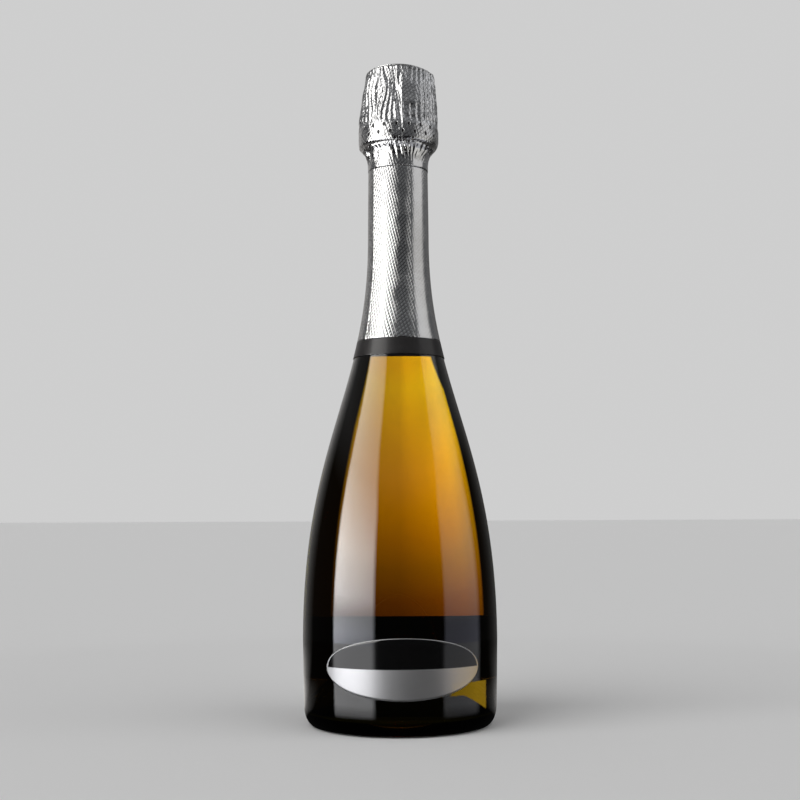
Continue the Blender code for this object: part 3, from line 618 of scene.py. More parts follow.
def meshObject(name, points, faceSets, outwards=True):
    volume = sum(signedVolume(points, faces) for faces in faceSets)
    if outwards and volume < 0:
        faceSets = [faces[:, ::-1] for faces in faceSets]
    faces = [row for faceSet in faceSets for row in faceSet.tolist()]
    mesh = bpy.data.meshes.new(name)
    mesh.from_pydata(points.tolist(), [], faces)
    mesh.polygons.foreach_set("use_smooth", [True] * len(mesh.polygons))
    mesh.update()
    obj = bpy.data.objects.new(name, mesh)
    sceneObjects.link(obj)
    return obj


def gridFaces(rows, columns, closed, looped=False):
    # Corner numbers of every cell between row i and i + 1 and column j and j + 1
    lastRow = rows if looped else rows - 1
    lastColumn = columns if closed else columns - 1
    row, column = np.meshgrid(np.arange(lastRow), np.arange(lastColumn), indexing="ij")
    nextRow, nextColumn = (row + 1) % rows, (column + 1) % columns
    corners = [(row, column), (row, nextColumn), (nextRow, nextColumn), (nextRow, column)]
    return np.stack([(r * columns + c).ravel() for r, c in corners], axis=1)


def turnedObject(name, outline, segments, waver=None):
    # Every outline point (radius, height) goes round the axis. Points on the axis at the
    # outline's two ends become one pole each; an outline clear of the axis closes on itself.
    outline = np.asarray(outline, float)
    poles = [outline[0, 0] < 1e-7, outline[-1, 0] < 1e-7]
    inner = outline[int(poles[0]): len(outline) - int(poles[1])]
    turn = fullTurn(segments)[None, :]
    radius, height = (inner[:, i:i + 1] + 0 * turn for i in (0, 1))
    if waver is not None:
        radius, height = waver(radius, height, turn)
    points = [roundAxis(radius, turn, height).reshape(-1, 3)]
    faceSets = [gridFaces(len(inner), segments, True, looped=not any(poles))]
    around = np.arange(segments)
    following = (around + 1) % segments
    count = len(inner) * segments
    for isPole, place, row in ((poles[0], outline[0], 0), (poles[1], outline[-1], len(inner) - 1)):
        if not isPole:
            continue
        points.append(np.array([[0.0, 0.0, place[1]]]))
        rim, rimNext = row * segments + around, row * segments + following
        pole = np.full(segments, count)
        faceSets.append(np.stack([pole, rimNext, rim] if row == 0 else [pole, rim, rimNext], axis=1))
        count += 1
    return meshObject(name, np.concatenate(points), faceSets)


def gridNormals(grid, closed):
    # Cross product of the differences along rows and along columns
    if closed:
        across = np.roll(grid, -1, axis=1) - np.roll(grid, 1, axis=1)
    else:
        across = np.gradient(grid, axis=1)
    along = np.gradient(grid, axis=0)
    normal = np.cross(across, along)
    return normal / np.maximum(np.linalg.norm(normal, axis=-1, keepdims=True), 1e-12)


def sheetObject(name, grid, thickness, closed):
    # A thin sheet: the grid, its copy moved inwards by the thickness, and the rims between them
    normal = gridNormals(grid, closed)
    if (normal * grid * np.array([1.0, 1.0, 0.0])).sum() < 0:
        normal = -normal
    inner = grid - normal * thickness
    rows, columns = grid.shape[:2]
    count = rows * columns
    faces = gridFaces(rows, columns, closed)
    faceSets = [faces, faces[:, ::-1] + count]
    for way, edge in ((1, np.arange(columns)), (-1, (rows - 1) * columns + np.arange(columns))):
        following = np.roll(edge, -1) if closed else edge[1:]
        here = edge if closed else edge[:-1]
        rim = np.stack([here, here + count, following + count, following], axis=1)
        faceSets.append(rim[:, ::way])
    if not closed:
        for way, side in ((1, np.arange(rows) * columns), (-1, np.arange(rows) * columns + columns - 1)):
            rim = np.stack([side[:-1], side[1:], side[1:] + count, side[:-1] + count], axis=1)
            faceSets.append(rim[:, ::way])
    return meshObject(name, np.concatenate([grid.reshape(-1, 3), inner.reshape(-1, 3)]), faceSets)


def bezier(start, pullStart, pullEnd, end, count):
    # A cubic curve: its ends and the two points that pull it, in the binomial shares of t
    t = np.linspace(0, 1, count)[:, None]
    s = 1 - t
    corners = [np.array(p, float) for p in (start, pullStart, pullEnd, end)]
    return s**3 * corners[0] + 3 * s * s * t * corners[1] + 3 * s * t * t * corners[2] + t**3 * corners[3]


def arc(centre, reach, rise, first, last, count):
    # Part of an ellipse from the first to the last angle in degrees
    angle = np.radians(np.linspace(first, last, count))
    return np.stack([centre[0] + reach * np.cos(angle), centre[1] + rise * np.sin(angle)], axis=1)


def lengthAlong(path):
    # The distance from the start to each point: the sum of the steps so far
    return np.concatenate([[0], np.cumsum(np.linalg.norm(np.diff(path, axis=0), axis=1))])


def evened(path, step=0.0003, passes=0, count=None):
    # The path again in even steps, its corners rounded by passes of a three-point mean
    length = lengthAlong(path)
    even = np.linspace(0, length[-1], count or max(int(length[-1] / step) + 1, 4))
    path = np.stack([np.interp(even, length, column) for column in path.T], axis=1)
    for _ in range(passes):
        path[1:-1] = (path[:-2] + 2 * path[1:-1] + path[2:]) / 4
    return path


def joined(*pieces):
    # Pieces of an outline end to end, without the points that repeat
    points = np.concatenate([np.atleast_2d(np.asarray(piece, float)) for piece in pieces])
    keep = np.ones(len(points), bool)
    keep[1:] = np.linalg.norm(np.diff(points, axis=0), axis=1) > 1e-6
    return points[keep]


def wavyNoise(around, up, cellsAround, cellsUp, seed):
    # Smooth noise from -1 to 1 on a lattice that closes round the axis: random corner values,
    # mixed by the smoothstep of the place inside each cell. around and up run from 0 to 1.
    values = np.random.default_rng(seed).uniform(-1, 1, (cellsUp + 2, cellsAround))
    x, y = np.broadcast_arrays(around * cellsAround, np.clip(up, 0, 1) * cellsUp)
    column, row = np.floor(x).astype(int), np.floor(y).astype(int)
    fx, fy = x - column, y - row
    fx, fy = fx * fx * (3 - 2 * fx), fy * fy * (3 - 2 * fy)
    left, right = column % cellsAround, (column + 1) % cellsAround
    low = values[row, left] * (1 - fx) + values[row, right] * fx
    high = values[row + 1, left] * (1 - fx) + values[row + 1, right] * fx
    return low * (1 - fy) + high * fy


def triangleWave(phase):
    # 0 at whole numbers and 1 halfway between them, in straight lines
    return 1 - np.abs(2 * (phase - np.floor(phase)) - 1)


def ramped(value, low, high):
    # A straight rise from 0 at low to 1 at high
    return np.clip((value - low) / (high - low), 0, 1)


def within(value, low, risen, falling, high):
    # A rise from 0 at low to 1 at risen, times a fall from 1 at falling to 0 at high
    return ramped(value, low, risen) * ramped(-value, -high, -falling)


def bellOf(value, width):
    # One at zero, dying out within a few widths
    return np.exp(-(value / width) ** 2)


def dressed(piece, material, body, slot, *nodes):
    # The piece's one material, the body that it moves with and the model's nodes it stands for
    piece.data.materials.clear()
    piece.data.materials.append(material)
    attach(piece, body)
    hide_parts(*nodes)


# Glass and wine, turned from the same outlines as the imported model
glass = {
    "bodyRadius": 0.0485,
    "baseTaper": 0.0006,
    "shoulderStart": 0.042,
    "shoulderEnd": 0.2436,
    "lowPull": 0.0998,
    "highPull": 0.0788,
    "neckRadius": 0.0154,
    "neckTopRadius": 0.0150,
    "heelReach": 0.00525,
    "heelHeight": 0.0100,
    "standingWidth": 0.0025,
    "puntDepth": 0.0336,
    "puntLip": 0.0012,
    "puntLowPull": 0.0137,
    "puntTopPull": 0.0178,
    "puntGlass": 0.0045,
    "troughHeight": 0.0068,
    "troughRound": 0.0038,
    "wall": 0.0029,
    "boreRadius": 0.0090,
    "neckInner": 0.0097,
    "innerDrop": 0.0063,
    "boreLength": 0.050,
    "brim": 0.314,
    "crownRadius": 0.0144,
    "crownHeight": 0.0048,
    "grooveRadius": 0.0132,
    "edge": 0.0012,
    "ringRadius": 0.0176,
    "ringDrop": 0.0116,
    "ringHeight": 0.0070,
    "knurls": 100,
    "knurlDepth": 0.00022,
    "knurlSpread": (0.0030, 0.0016),
    "segments": 300,
    "bend": 1.5,
    "keeps": (0.95, 0.94, 0.70),
    "density": 1000.0,
    "polish": 0.8,
    "uneven": (30.0, 1.0),
    "unevenDepth": (0.0002, 0.05),
}
glass["ringTop"] = glass["brim"] - glass["ringDrop"]
glass["ringBottom"] = glass["ringTop"] - glass["ringHeight"]
glass["standingOuter"] = glass["bodyRadius"] - glass["baseTaper"] - glass["heelReach"]


def outerOutline():
    # From under the glass ring down the neck, shoulder and body to the standing ring
    g = glass
    neck = [(g["neckTopRadius"], g["ringBottom"] - g["edge"])]
    shoulder = bezier(
        (g["neckRadius"], g["shoulderEnd"]),
        (g["neckRadius"], g["shoulderEnd"] - g["highPull"]),
        (g["bodyRadius"], g["shoulderStart"] + g["lowPull"]),
        (g["bodyRadius"], g["shoulderStart"]),
        70,
    )
    heel = arc((g["standingOuter"], g["heelHeight"]), g["heelReach"], g["heelHeight"], 0, -90, 14)
    return joined(neck, shoulder, heel)


def innerOutline():
    # From the brim down the inside to the top of the punt
    g = glass
    wallRadius = g["bodyRadius"] - g["wall"]
    trough = (wallRadius - g["baseTaper"] - g["troughRound"], g["troughHeight"] + g["troughRound"])
    top = g["puntDepth"] + g["puntGlass"]
    bore = [(g["boreRadius"], g["brim"] - g["boreLength"])]
    shoulder = bezier(
        (g["neckInner"], g["shoulderEnd"] - g["innerDrop"]),
        (g["neckInner"], g["shoulderEnd"] - g["innerDrop"] - g["highPull"] + g["wall"]),
        (wallRadius, g["shoulderStart"] + g["lowPull"]),
        (wallRadius, g["shoulderStart"]),
        60,
    )
    foot = arc(trough, g["troughRound"], g["troughRound"], 0, -90, 9)
    dome = bezier(
        (trough[0] - g["puntLip"], g["troughHeight"]),
        (trough[0] - g["puntLip"] - g["puntLowPull"], g["troughHeight"] + g["puntLowPull"]),
        (g["puntTopPull"], top),
        (0, top),
        26,
    )
    return joined(bore, shoulder, foot, dome)


def puntOutline():
    # From the inner edge of the standing ring up to the top of the hollow
    g = glass
    standingInner = g["standingOuter"] - g["standingWidth"]
    foot = standingInner - g["puntLip"]
    dome = bezier(
        (foot, g["puntLip"]),
        (foot - g["puntLowPull"], g["puntLip"] + g["puntLowPull"]),
        (g["puntTopPull"], g["puntDepth"]),
        (0, g["puntDepth"]),
        26,
    )
    return joined([(standingInner, 0)], dome)


def mouthOutline():
    # From the bore over the rounded brim, the crown bead, the groove and the ring
    g = glass
    brim, edge, groove = g["brim"], g["edge"], g["grooveRadius"]
    low = brim - g["crownHeight"]
    ringEdge = g["ringRadius"] - edge
    return joined(
        arc((g["boreRadius"] + edge / 2, brim - edge / 2), edge / 2, edge / 2, 180, 90, 5),
        arc((g["crownRadius"] - edge, brim - edge), edge, edge, 90, 0, 7),
        arc((g["crownRadius"] - edge, low + edge), edge, edge, 0, -60, 5),
        arc((groove + edge / 2, low - edge / 2), edge / 2, edge / 2, 120, 180, 4),
        arc((groove + edge, g["ringTop"] + edge), edge, edge, 180, 270, 5),
        arc((ringEdge, g["ringTop"] - edge), edge, edge, 90, 0, 7),
        arc((ringEdge, g["ringBottom"] + 2 * edge), edge, edge * 1.5, 0, -90, 7),
        [(g["neckTopRadius"] + edge / 2, g["ringBottom"])],
    )


glassOutline = outerOutline()
glassInside = innerOutline()


def radiusAt(height):
    # Outside radius of the glass at a height, read along the falling outline
    return np.interp(height, glassOutline[::-1, 1], glassOutline[::-1, 0])


def waverGlass(radius, height, turn):
    # Small bars pressed into the standing ring
    g = glass
    across, up = g["knurlSpread"]
    middle = g["standingOuter"] - g["standingWidth"] / 2
    bars = 0.5 + 0.5 * np.cos(turn * g["knurls"])
    return radius, height + g["knurlDepth"] * bars * bellOf(radius - middle, across) * bellOf(height, up)


def makeClearMaterial(name, bend, keeps, density, coat=0.0):
    # Clear glass or liquid: how far it bends light, and what colour is left after a depth
    material, tree, shader = startMaterial(name)
    setShader(shader, baseColor=(1.0, 1.0, 1.0), metallic=0.0, roughness=0.0)
    setShader(shader, transmissionWeight=1.0, coatWeight=coat, coatRoughness=0.0)
    shader.inputs["IOR"].default_value = bend
    absorb = addNode(tree, "ShaderNodeVolumeAbsorption", {"Color": (*keeps, 1.0), "Density": density})
    tree.links.new(absorb.outputs[0], tree.nodes["Material Output"].inputs["Volume"])
    return material, tree, shader


def makeGlass():
    g = glass
    outline = joined(glassInside[::-1], mouthOutline(), glassOutline, puntOutline())
    body = turnedObject("glassBody", outline, g["segments"], waverGlass)
    clear, tree, shader = makeClearMaterial("oliveGlass", g["bend"], g["keeps"], g["density"], g["polish"])
    setShader(shader, normal=bumpOf(tree, grainOf(tree, *g["uneven"]), *g["unevenDepth"]))
    dressed(body, clear, "bottle", "glass", "glass_bottle")


wine = {
    "bend": 1.34,
    "keeps": (0.99, 0.93, 0.40),
    "density": 200.0,
    "overlap": 0.00012,
    "level": 0.226,
    "meniscus": 0.0012,
    "meniscusReach": 0.00132,
    "surfaceRings": 14,
    "segments": 180,
}


def makeWine():
    # The wetted inside, moved a hair into the glass, with a meniscus that climbs the neck
    w = wine
    inside = glassInside[glassInside[:, 1] < w["level"]]
    along = np.gradient(inside, axis=0)
    along /= np.linalg.norm(along, axis=1, keepdims=True)
    side = np.stack([-along[:, 1], along[:, 0]], axis=1) * w["overlap"]
    skin = inside + side * np.sign(side[0, 0])
    skin[-1, 0] = 0
    rising = glassInside[glassInside[:, 1] > glass["shoulderStart"] - 1e-6][::-1]
    edge = float(np.interp(w["level"], rising[:, 1], rising[:, 0])) + w["overlap"]
    reach = np.linspace(0, 1, w["surfaceRings"])[:, None] ** 0.6 * edge
    climb = w["meniscus"] * np.exp((reach - edge) / w["meniscusReach"])
    top = np.concatenate([reach, w["level"] - w["meniscus"] + climb], axis=1)
    fill = turnedObject("wineFill", joined(top, skin), w["segments"])
    clear, tree, shader = makeClearMaterial("goldenWine", w["bend"], w["keeps"], w["density"])
    shader.inputs["Specular Tint"].default_value = (0.0, 0.0, 0.0, 1.0)
    dressed(fill, clear, "bottle", "wine", "wine_fill")


# Labels, sheets of paper wrapped on the glass
frontLabel = {
    "centre": -88.0,
    "halfAngle": 47.5,
    "low": 0.0172,
    "high": 0.0460,
    "gap": 0.00006,
    "paper": 0.00018,
    "rim": (0.955, 0.965),
    "seam": 0.013,
    "dark": (0.004, 0.004, 0.0042),
    "silver": (0.50, 0.50, 0.51),
    "metal": 0.84,
    "rough": (0.12, 0.43),
    "varnish": 0.45,
    "grain": (900.0, 3.0),
    "grainDepth": (0.00001, 0.2),
}
backLabel = {
    "centre": 90.0,
    "halfAngle": 53.0,
    "low": 0.0181,
    "high": 0.0499,
    "corner": 0.0015,
    "shades": [(0.0, (0.0012, 0.0012, 0.0014)), (1.0, (0.002, 0.002, 0.0022))],
    "rough": 0.45,
    "grain": (1200.0, 4.0),
    "grainDepth": (0.00002, 0.25),
}


def onGlass(angle, height, gap):
    # A point at the glass's own radius at that height, plus a gap
    return roundAxis(radiusAt(height) + gap, angle, height)


def makeFrontLabelMaterial():
    # Dark grey over silver, parted by a straight line, with a thin bright rim. The rim is
    # where the ellipse's own measure (across squared plus up squared) nears one.
    f = frontLabel
    material, tree, shader = startMaterial("silverPaper")
    axes = objectPlace(tree)[1]
    ends = [math.radians(f["centre"] + way * f["halfAngle"]) for way in (-1, 1)]
    across = rangeOf(tree, maths(tree, "ARCTAN2", axes[1], axes[0]), *ends, -1.0, 1.0)
    up = rangeOf(tree, axes[2], f["low"], f["high"], -1.0, 1.0)
    rim = rangeOf(tree, plus(tree, times(tree, across, across), times(tree, up, up)), *f["rim"])
    silver = maths(tree, "MAXIMUM", rangeOf(tree, up, -f["seam"], f["seam"], 1.0, 0.0), rim)
    shade = mixOf(tree, silver, f["dark"], f["silver"])
    setShader(shader, baseColor=shade, metallic=times(tree, silver, f["metal"]))
    rough = rangeOf(tree, silver, 0.0, 1.0, *f["rough"])
    setShader(shader, roughness=rough, coatWeight=f["varnish"], coatRoughness=0.04)
    setShader(shader, normal=bumpOf(tree, grainOf(tree, *f["grain"]), *f["grainDepth"]))
    return material


def makeFrontLabel():
    # An ellipse: the sweep runs along it and each column is as tall as the ellipse is there
    f = frontLabel
    sweep = np.linspace(-1, 1, 121)[None, :] * math.pi / 2 * 0.995
    rise = np.linspace(-1, 1, 25)[:, None]
    middle, half = (f["low"] + f["high"]) / 2, (f["high"] - f["low"]) / 2
    angle = np.radians(f["centre"] + f["halfAngle"] * np.sin(sweep)) + 0 * rise
    grid = onGlass(angle, middle + rise * half * np.cos(sweep), f["gap"] + f["paper"])
    label = sheetObject("frontLabel", grid, f["paper"], closed=False)
    dressed(label, makeFrontLabelMaterial(), "bottle", "front_paper", "front_label")


def makeBackLabelMaterial():
    b = backLabel
    material, tree, shader = startMaterial("darkPaper")
    grain = grainOf(tree, *b["grain"])
    setShader(shader, baseColor=rampOf(tree, grain, b["shades"]), roughness=b["rough"])
    setShader(shader, normal=bumpOf(tree, grain, *b["grainDepth"]))
    return material


def makeBackLabel():
    # A rectangle with rounded corners, wrapped round the body
    b = backLabel
    half = math.radians(b["halfAngle"])
    across = np.sin(np.linspace(-1, 1, 161) * math.pi / 2)[None, :] * half
    rise = np.linspace(-1, 1, 21)[:, None]
    reach = np.abs(across) * glass["bodyRadius"] - (half * glass["bodyRadius"] - b["corner"])
    corner = np.clip(reach / b["corner"], 0, 1)
    drawn = b["corner"] * (1 - np.sqrt(1 - corner**2))
    middle, tall = (b["low"] + b["high"]) / 2, (b["high"] - b["low"]) / 2
    height = middle + rise * (tall - drawn)
    angle = math.radians(b["centre"]) + across + 0 * rise
    grid = onGlass(angle, height, frontLabel["gap"] + frontLabel["paper"])
    label = sheetObject("backLabel", grid, frontLabel["paper"], closed=False)
    dressed(label, makeBackLabelMaterial(), "bottle", "back_paper", "back_label")


# Foil capsule: skirt, band and hood
foil = {
    "thickness": 0.00012,
    "gap": 0.00012,
    "tearHeight": 0.2795,
    "bandLow": 0.1823,
    "bandHeight": 0.0084,
    "bandThicker": 0.00008,
    "skirtGap": 0.00004,
    "bandGap": 0.00012,
    "hemGap": 0.00016,
    "cut": 0.0001,
    "worn": (140.0, 2.0),
    "wornKeeps": 0.6,
    "rough": (0.13, 0.21),
    "metal": 0.82,
    # groove is the foil's colour in the grooves between the diamonds, darkened as painted shade
    "groove": 0.36,
    "overlap": (0.40, 0.46, 0.9, 1.3),
    "overlapKeeps": 0.16,
    "tearBand": (-0.0003, 0.0005, 0.0001, 0.0001),
    "tearDashes": (13.5, -0.0022, 0.6),
    "tearDepth": 1.2,
    "seamSpan": (-62.0, -60.5, -51.5, -50.0),
    "seamDepth": 0.00020,
    "fluteDepth": 0.00004,
    "lacquer": [(0.0, (0.010, 0.009, 0.009)), (1.0, (0.016, 0.014, 0.014))],
    "lacquerRough": (0.32, 0.42),
    # hole is the near-black colour of the pinholes, painted shade inside them
    "hole": (0.01, 0.01, 0.01),
}


def makeFoilMaterial(name, emboss, crumple, pierced=False):
    # Pressed aluminium: the diamond embossing, flattened here and there, over soft dents. Where
    # the sheet overlaps itself below the crease it is pressed nearly flat, and the tear line is
    # a row of slanting dashes.
    material, tree, shader = startMaterial(name)
    diamonds = useGroup(tree, diamondGroup)["Height"]
    worn = grainOf(tree, *foil["worn"])
    dents = grainOf(tree, crumple[0], 3.0)
    axes = objectPlace(tree)[1]
    bearing = maths(tree, "ARCTAN2", axes[0], times(tree, axes[1], -1.0))
    starts, full, ends, gone = foil["overlap"]
    overlap = times(
        tree,
        rangeOf(tree, bearing, starts, full),
        rangeOf(tree, bearing, ends, gone, 1.0, 0.0),
        maths(tree, "LESS_THAN", axes[2], hood["crease"]),
    )
    pressed = rangeOf(tree, overlap, 0.0, 1.0, 1.0, foil["overlapKeeps"])
    diamonds = rangeOf(tree, diamonds, 0.0, 1.0, minus(tree, 1.0, pressed), 1.0)
    around, pitch, gap = foil["tearDashes"]
    low, high, *soft = foil["tearBand"]
    torn = panelBand(tree, axes[2], foil["tearHeight"] + low, foil["tearHeight"] + high, *soft)
    dashes = maths(tree, "MULTIPLY_ADD", bearing, around, maths(tree, "DIVIDE", axes[2], pitch))
    torn = times(tree, torn, maths(tree, "GREATER_THAN", maths(tree, "FRACT", dashes), gap))
    relief = times(tree, diamonds, rangeOf(tree, worn, 0.0, 1.0, foil["wornKeeps"], 1.0))
    relief = minus(tree, relief, times(tree, torn, foil["tearDepth"]))
    normal = bumpOf(tree, relief, emboss, 1.0, bumpOf(tree, dents, crumple[1], 1.0))
    # The base colour is darker in the grooves between the diamonds, as painted shade, and less so where the
    # sheet is pressed flat
    colour = rampOf(tree, diamonds, [(0.0, foil["groove"]), (0.55, foil["metal"]), (1.0, foil["metal"])])
    metallic = 1.0
    if pierced:
        # Each pinhole is painted near black, as painted shade inside it, and is less metallic with a dent
        holes = useGroup(tree, pinholeGroup)["Mask"]
        colour = mixOf(tree, holes, colour, foil["hole"])
        metallic = rangeOf(tree, holes, 0.0, 1.0, 1.0, 0.2)
        normal = bumpOf(tree, holes, -0.0003, 0.8, normal)
    setShader(shader, baseColor=colour, metallic=metallic, normal=normal)
    setShader(shader, roughness=rangeOf(tree, worn, 0.0, 1.0, *foil["rough"]))
    return material


def makeBandMaterial():
    material, tree, shader = startMaterial("blackLacquer")
    grain = grainOf(tree, 500.0, 3.0)
    rough = rangeOf(tree, grain, 0.0, 1.0, *foil["lacquerRough"])
    setShader(shader, baseColor=rampOf(tree, grain, foil["lacquer"]), roughness=rough)
    setShader(shader, coatWeight=0.2)
    setShader(shader, normal=bumpOf(tree, grain, 0.00003, 0.3))
    return material


def makeSkirt():
    # The sleeve of foil on the neck and shoulder, with faint upright flutes and a ticked seam
    low, high = foil["bandLow"] + foil["bandHeight"], foil["tearHeight"]
    height = np.linspace(high - foil["cut"], low + foil["cut"], 150)[:, None]
    turn = fullTurn(360)[None, :]
    around, share = turn / math.tau, (height - low) / (high - low)
    ticks = 0.5 + 0.5 * triangleWave(height / 0.0013 + wavyNoise(around, share, 40, 30, 6))
    seam = within(bearingOf(turn), *foil["seamSpan"])
    flutes = wavyNoise(around, share, 26, 4, 5) * foil["fluteDepth"] + foil["seamDepth"] * seam * ticks
    grid = onGlass(turn, height, foil["gap"] + foil["thickness"] + foil["skirtGap"] + flutes)
    skirt = sheetObject("skirtFoil", grid, foil["thickness"], closed=True)
    material = makeFoilMaterial("embossedFoil", 0.00014, (60.0, 0.00001))
    dressed(skirt, material, "bottle", "silver_foil", "capsule_skirt")


def makeBand():
    height = np.linspace(foil["bandLow"] + foil["bandHeight"], foil["bandLow"], 24)[:, None]
    grid = onGlass(fullTurn(240)[None, :], height, foil["gap"] + foil["thickness"] + foil["bandGap"])
    band = sheetObject("neckBand", grid, foil["thickness"] + foil["bandThicker"], closed=True)
    dressed(band, makeBandMaterial(), "bottle", "black_foil", "neck_band")


hood = {
    "columns": 330,
    "rows": 148,
    "wide": 0.02032,
    "head": 0.01860,
    "corner": 0.0171,
    "top": 0.33188,
    "crease": 0.2912,
    "bandTop": 0.3006,
    "foldRadius": 0.0100,
    "discRadius": 0.0152,
    "keep": 0.38,
    "crumpled": 0.3655,
    # Waves round the hood: how many, how far they wander, the noise's cells and seed, the depth
    "widePleats": (9, 0.45, (7, 4, 11), 0.00050),
    "pleats": (41, 0.7, (16, 4, 12), 0.00064),
    "narrowPleats": (61, 1.1, (34, 14, 13), 0.00020),
    "crimps": (83, 1.4, (40, 60, 15), 0.00034),
    # Waves up the hood: their pitch, then the same
    "steps": (0.0036, 1.6, (26, 7, 14), 0.00012),
    # The smooth facet right of the front: bearings, then two depths below the top, two heights
    "facet": ((9.0, 14.0, 37.0, 43.0), (0.0230, 0.0200, 0.3215, 0.3250)),
    # The deep fold at the front: heights with its bearing, its half width and its depth
    "foldLine": ([0.2975, 0.3120, 0.3270], [6.5, 3.0, -9.0]),
    "foldHalf": ([0.2975, 0.3110, 0.3270], [2.6, 5.0, 13.0]),
    "foldDepth": ([0.2985, 0.3040, 0.3250, 0.3310], [0.0, 0.0009, 0.0019, 0.0006]),
    "overlap": (-4.0, -3.0, 6.0, 7.0),
    "overlapWaves": (4.2, 0.3),
    "overlapDepth": 0.00030,
    "creaseDepth": 0.00060,
    "lipHeight": 0.00030,
    "flareDepth": 0.00085,
    # Where the foil stands off at the sides: the heights where it starts, and how far
    "leanLow": (0.2925, 0.2950, 0.0008),
    "leanHigh": (0.3030, 0.3150, 0.0015),
    "leanEnds": (0.3305, 0.3320),
    "leanLeft": (0.2990, 0.3080, 0.3200, 0.3290),
    "leanLeftBy": 0.0007,
    # Heights, and the radius over what lies under the foil there
    "overCork": (
        [0.2925, 0.2935, 0.2950, 0.2955, 0.3030, 0.3040, 0.3140, 0.3150, 0.3295, 0.3310],
        [0.0150, 0.0175, 0.0175, 0.0179, 0.0179, 0.0150, 0.0150, 0.0159, 0.0158, 0.0150],
    ),
    "overLegs": (
        [0.2915, 0.2925, 0.3024, 0.3215, 0.3293, 0.3300, 0.3320],
        [0.0150, 0.0187, 0.0196, 0.0175, 0.0170, 0.0168, 0.0150],
    ),
    "overKey": (
        [0.2915, 0.2925, 0.3045, 0.3112, 0.3178, 0.3190],
        [0.0150, 0.0199, 0.0198, 0.0192, 0.0185, 0.0160],
    ),
    "besideDrop": 0.004,
}


def hoodPath():
    # The hood's outer side from its tear line up and in to the fold under the disc
    h = hood
    tear, crease, top = foil["tearHeight"], h["crease"], h["top"]
    wide, head, corner = h["wide"], h["head"], h["corner"]
    hem = float(radiusAt(tear)) + foil["gap"] + foil["thickness"] + foil["hemGap"]
    corners = np.array([
        (hem, tear + foil["cut"]),
        (hem + 0.0001, tear + 0.0035),
        (hem + 0.0005, tear + 0.0062),
        (hem + 0.0016, crease - 0.0022),
        (wide - 0.0012, crease - 0.0001),
        (wide - 0.0002, crease + 0.0012),
        (wide, crease + 0.0022),
        (wide, h["bandTop"] + 0.0010),
        (wide - 0.0002, glass["ringTop"] + 0.0032),
        (head, glass["ringTop"] + 0.0130),
        ((head + corner) / 2, glass["ringTop"] + 0.0200),
        (corner, top - 0.0030),
        (corner - 0.0001, top - 0.0012),
        (corner - 0.0006, top - 0.0003),
        (corner - 0.0022, top + 0.0003),
        (h["foldRadius"], top + 0.0003),
    ])
    return evened(corners, passes=2, count=h["rows"])


def waveOf(kind, around, up):
    # A triangle wave round the hood whose phase wanders, times its depth
    count, wander, cells, depth = hood[kind]
    return depth * triangleWave(around * count + wander * wavyNoise(around, up, *cells))


def hoodRelief(turn, height):
    # How far the crumpled foil stands off the hood's path. Pleats are triangle waves whose
    # phase wanders with height, each times a share that says where on the hood they run.
    h = hood
    tear, crease, top = foil["tearHeight"], h["crease"], h["top"]
    around, up, bearing = turn / math.tau, (height - tear) / (top - tear), bearingOf(turn)
    wall = within(height, h["bandTop"] - 0.0002, h["bandTop"] + 0.0026, top - 0.0022, top + 0.0001)
    sides, (low, risen, *highs) = h["facet"]
    facet = within(bearing, *sides) * within(height, top - low, top - risen, *highs)
    patches = 0.5 + 0.5 * wavyNoise(around, up, 11, 6, 21)
    relief = -waveOf("widePleats", around, up)
    relief = relief - waveOf("pleats", around, up) * (0.7 + 0.3 * patches)
    relief = relief - waveOf("narrowPleats", around, up) * (1.0 - 0.5 * patches)
    pitch, wander, cells, depth = h["steps"]
    steps = triangleWave(height / pitch + wander * wavyNoise(around, up, *cells))
    relief = (relief - depth * steps * patches) * wall * (1.0 - 0.85 * facet)
    # The deep fold opens upwards and is steeper on its right side
    line, half, depth = (np.interp(height, *h[name]) for name in ("foldLine", "foldHalf", "foldDepth"))
    beside = bearing - line
    beside = np.where(beside < 0, -beside / (1.5 * half), beside / (0.45 * half))
    relief = relief - depth * np.clip(1 - beside, 0, 1) ** 0.8
    # Crimps over the cap's rim
    crimped = ramped(height, top - 0.0036, top - 0.0022)
    relief = relief - crimped * waveOf("crimps", around, up) * (0.4 + 0.6 * patches)
    # The smooth band, with the foil's overlap at the front
    band = ramped(height, crease + 0.0004, crease + 0.0016) * (1 - wall)
    pitch, start = h["overlapWaves"]
    overlap = triangleWave(bearing / pitch + start) * within(bearing, *h["overlap"])
    relief = relief + band * (0.00010 * wavyNoise(around, up, 13, 20, 16) - h["overlapDepth"] * overlap)
    # The crease under the glass ring, its curled lips, and the folds that die out below it
    middle = 0.5 + 0 * up
    line = crease + 0.0005 * wavyNoise(around, middle, 17, 1, 17)
    relief = relief - h["creaseDepth"] * bellOf(height - line, 0.00045)
    lips = bellOf(height - line - 0.0010, 0.0006) * np.clip(wavyNoise(around, middle, 9, 1, 18), 0, 1)
    relief = relief + h["lipHeight"] * lips * triangleWave(around * 58)
    flare = ramped(-height, -line, 0.0008 - line) * ramped(height, tear + 0.0022, line - 0.0015)
    slant = (height - crease) / 0.0075 * 1.3 * np.sin(turn * 3)
    folds = triangleWave(around * 37 + slant + 0.8 * wavyNoise(around, up, 19, 12, 19))
    uneven = 0.35 + 0.65 * np.abs(wavyNoise(around, up, 9, 3, 20))
    return relief - h["flareDepth"] * flare * folds * uneven


def hoodFloor(turn, height):
    # The least outside radius that clears the cork, glass ring and belt, and, near their
    # bearings, the legs and the key
    h = hood
    degrees = np.degrees(turn)
    bare, legs, key = (np.interp(height, *h[name]) for name in ("overCork", "overLegs", "overKey"))
    legs = legs - h["besideDrop"] * (1 - bellOf(degrees % 90 - 45, 6.0))
    key = key - h["besideDrop"] * np.clip(np.abs(degrees - 90) / 12 - 1.4, 0, 1)
    return np.maximum(np.maximum(bare, legs), key)


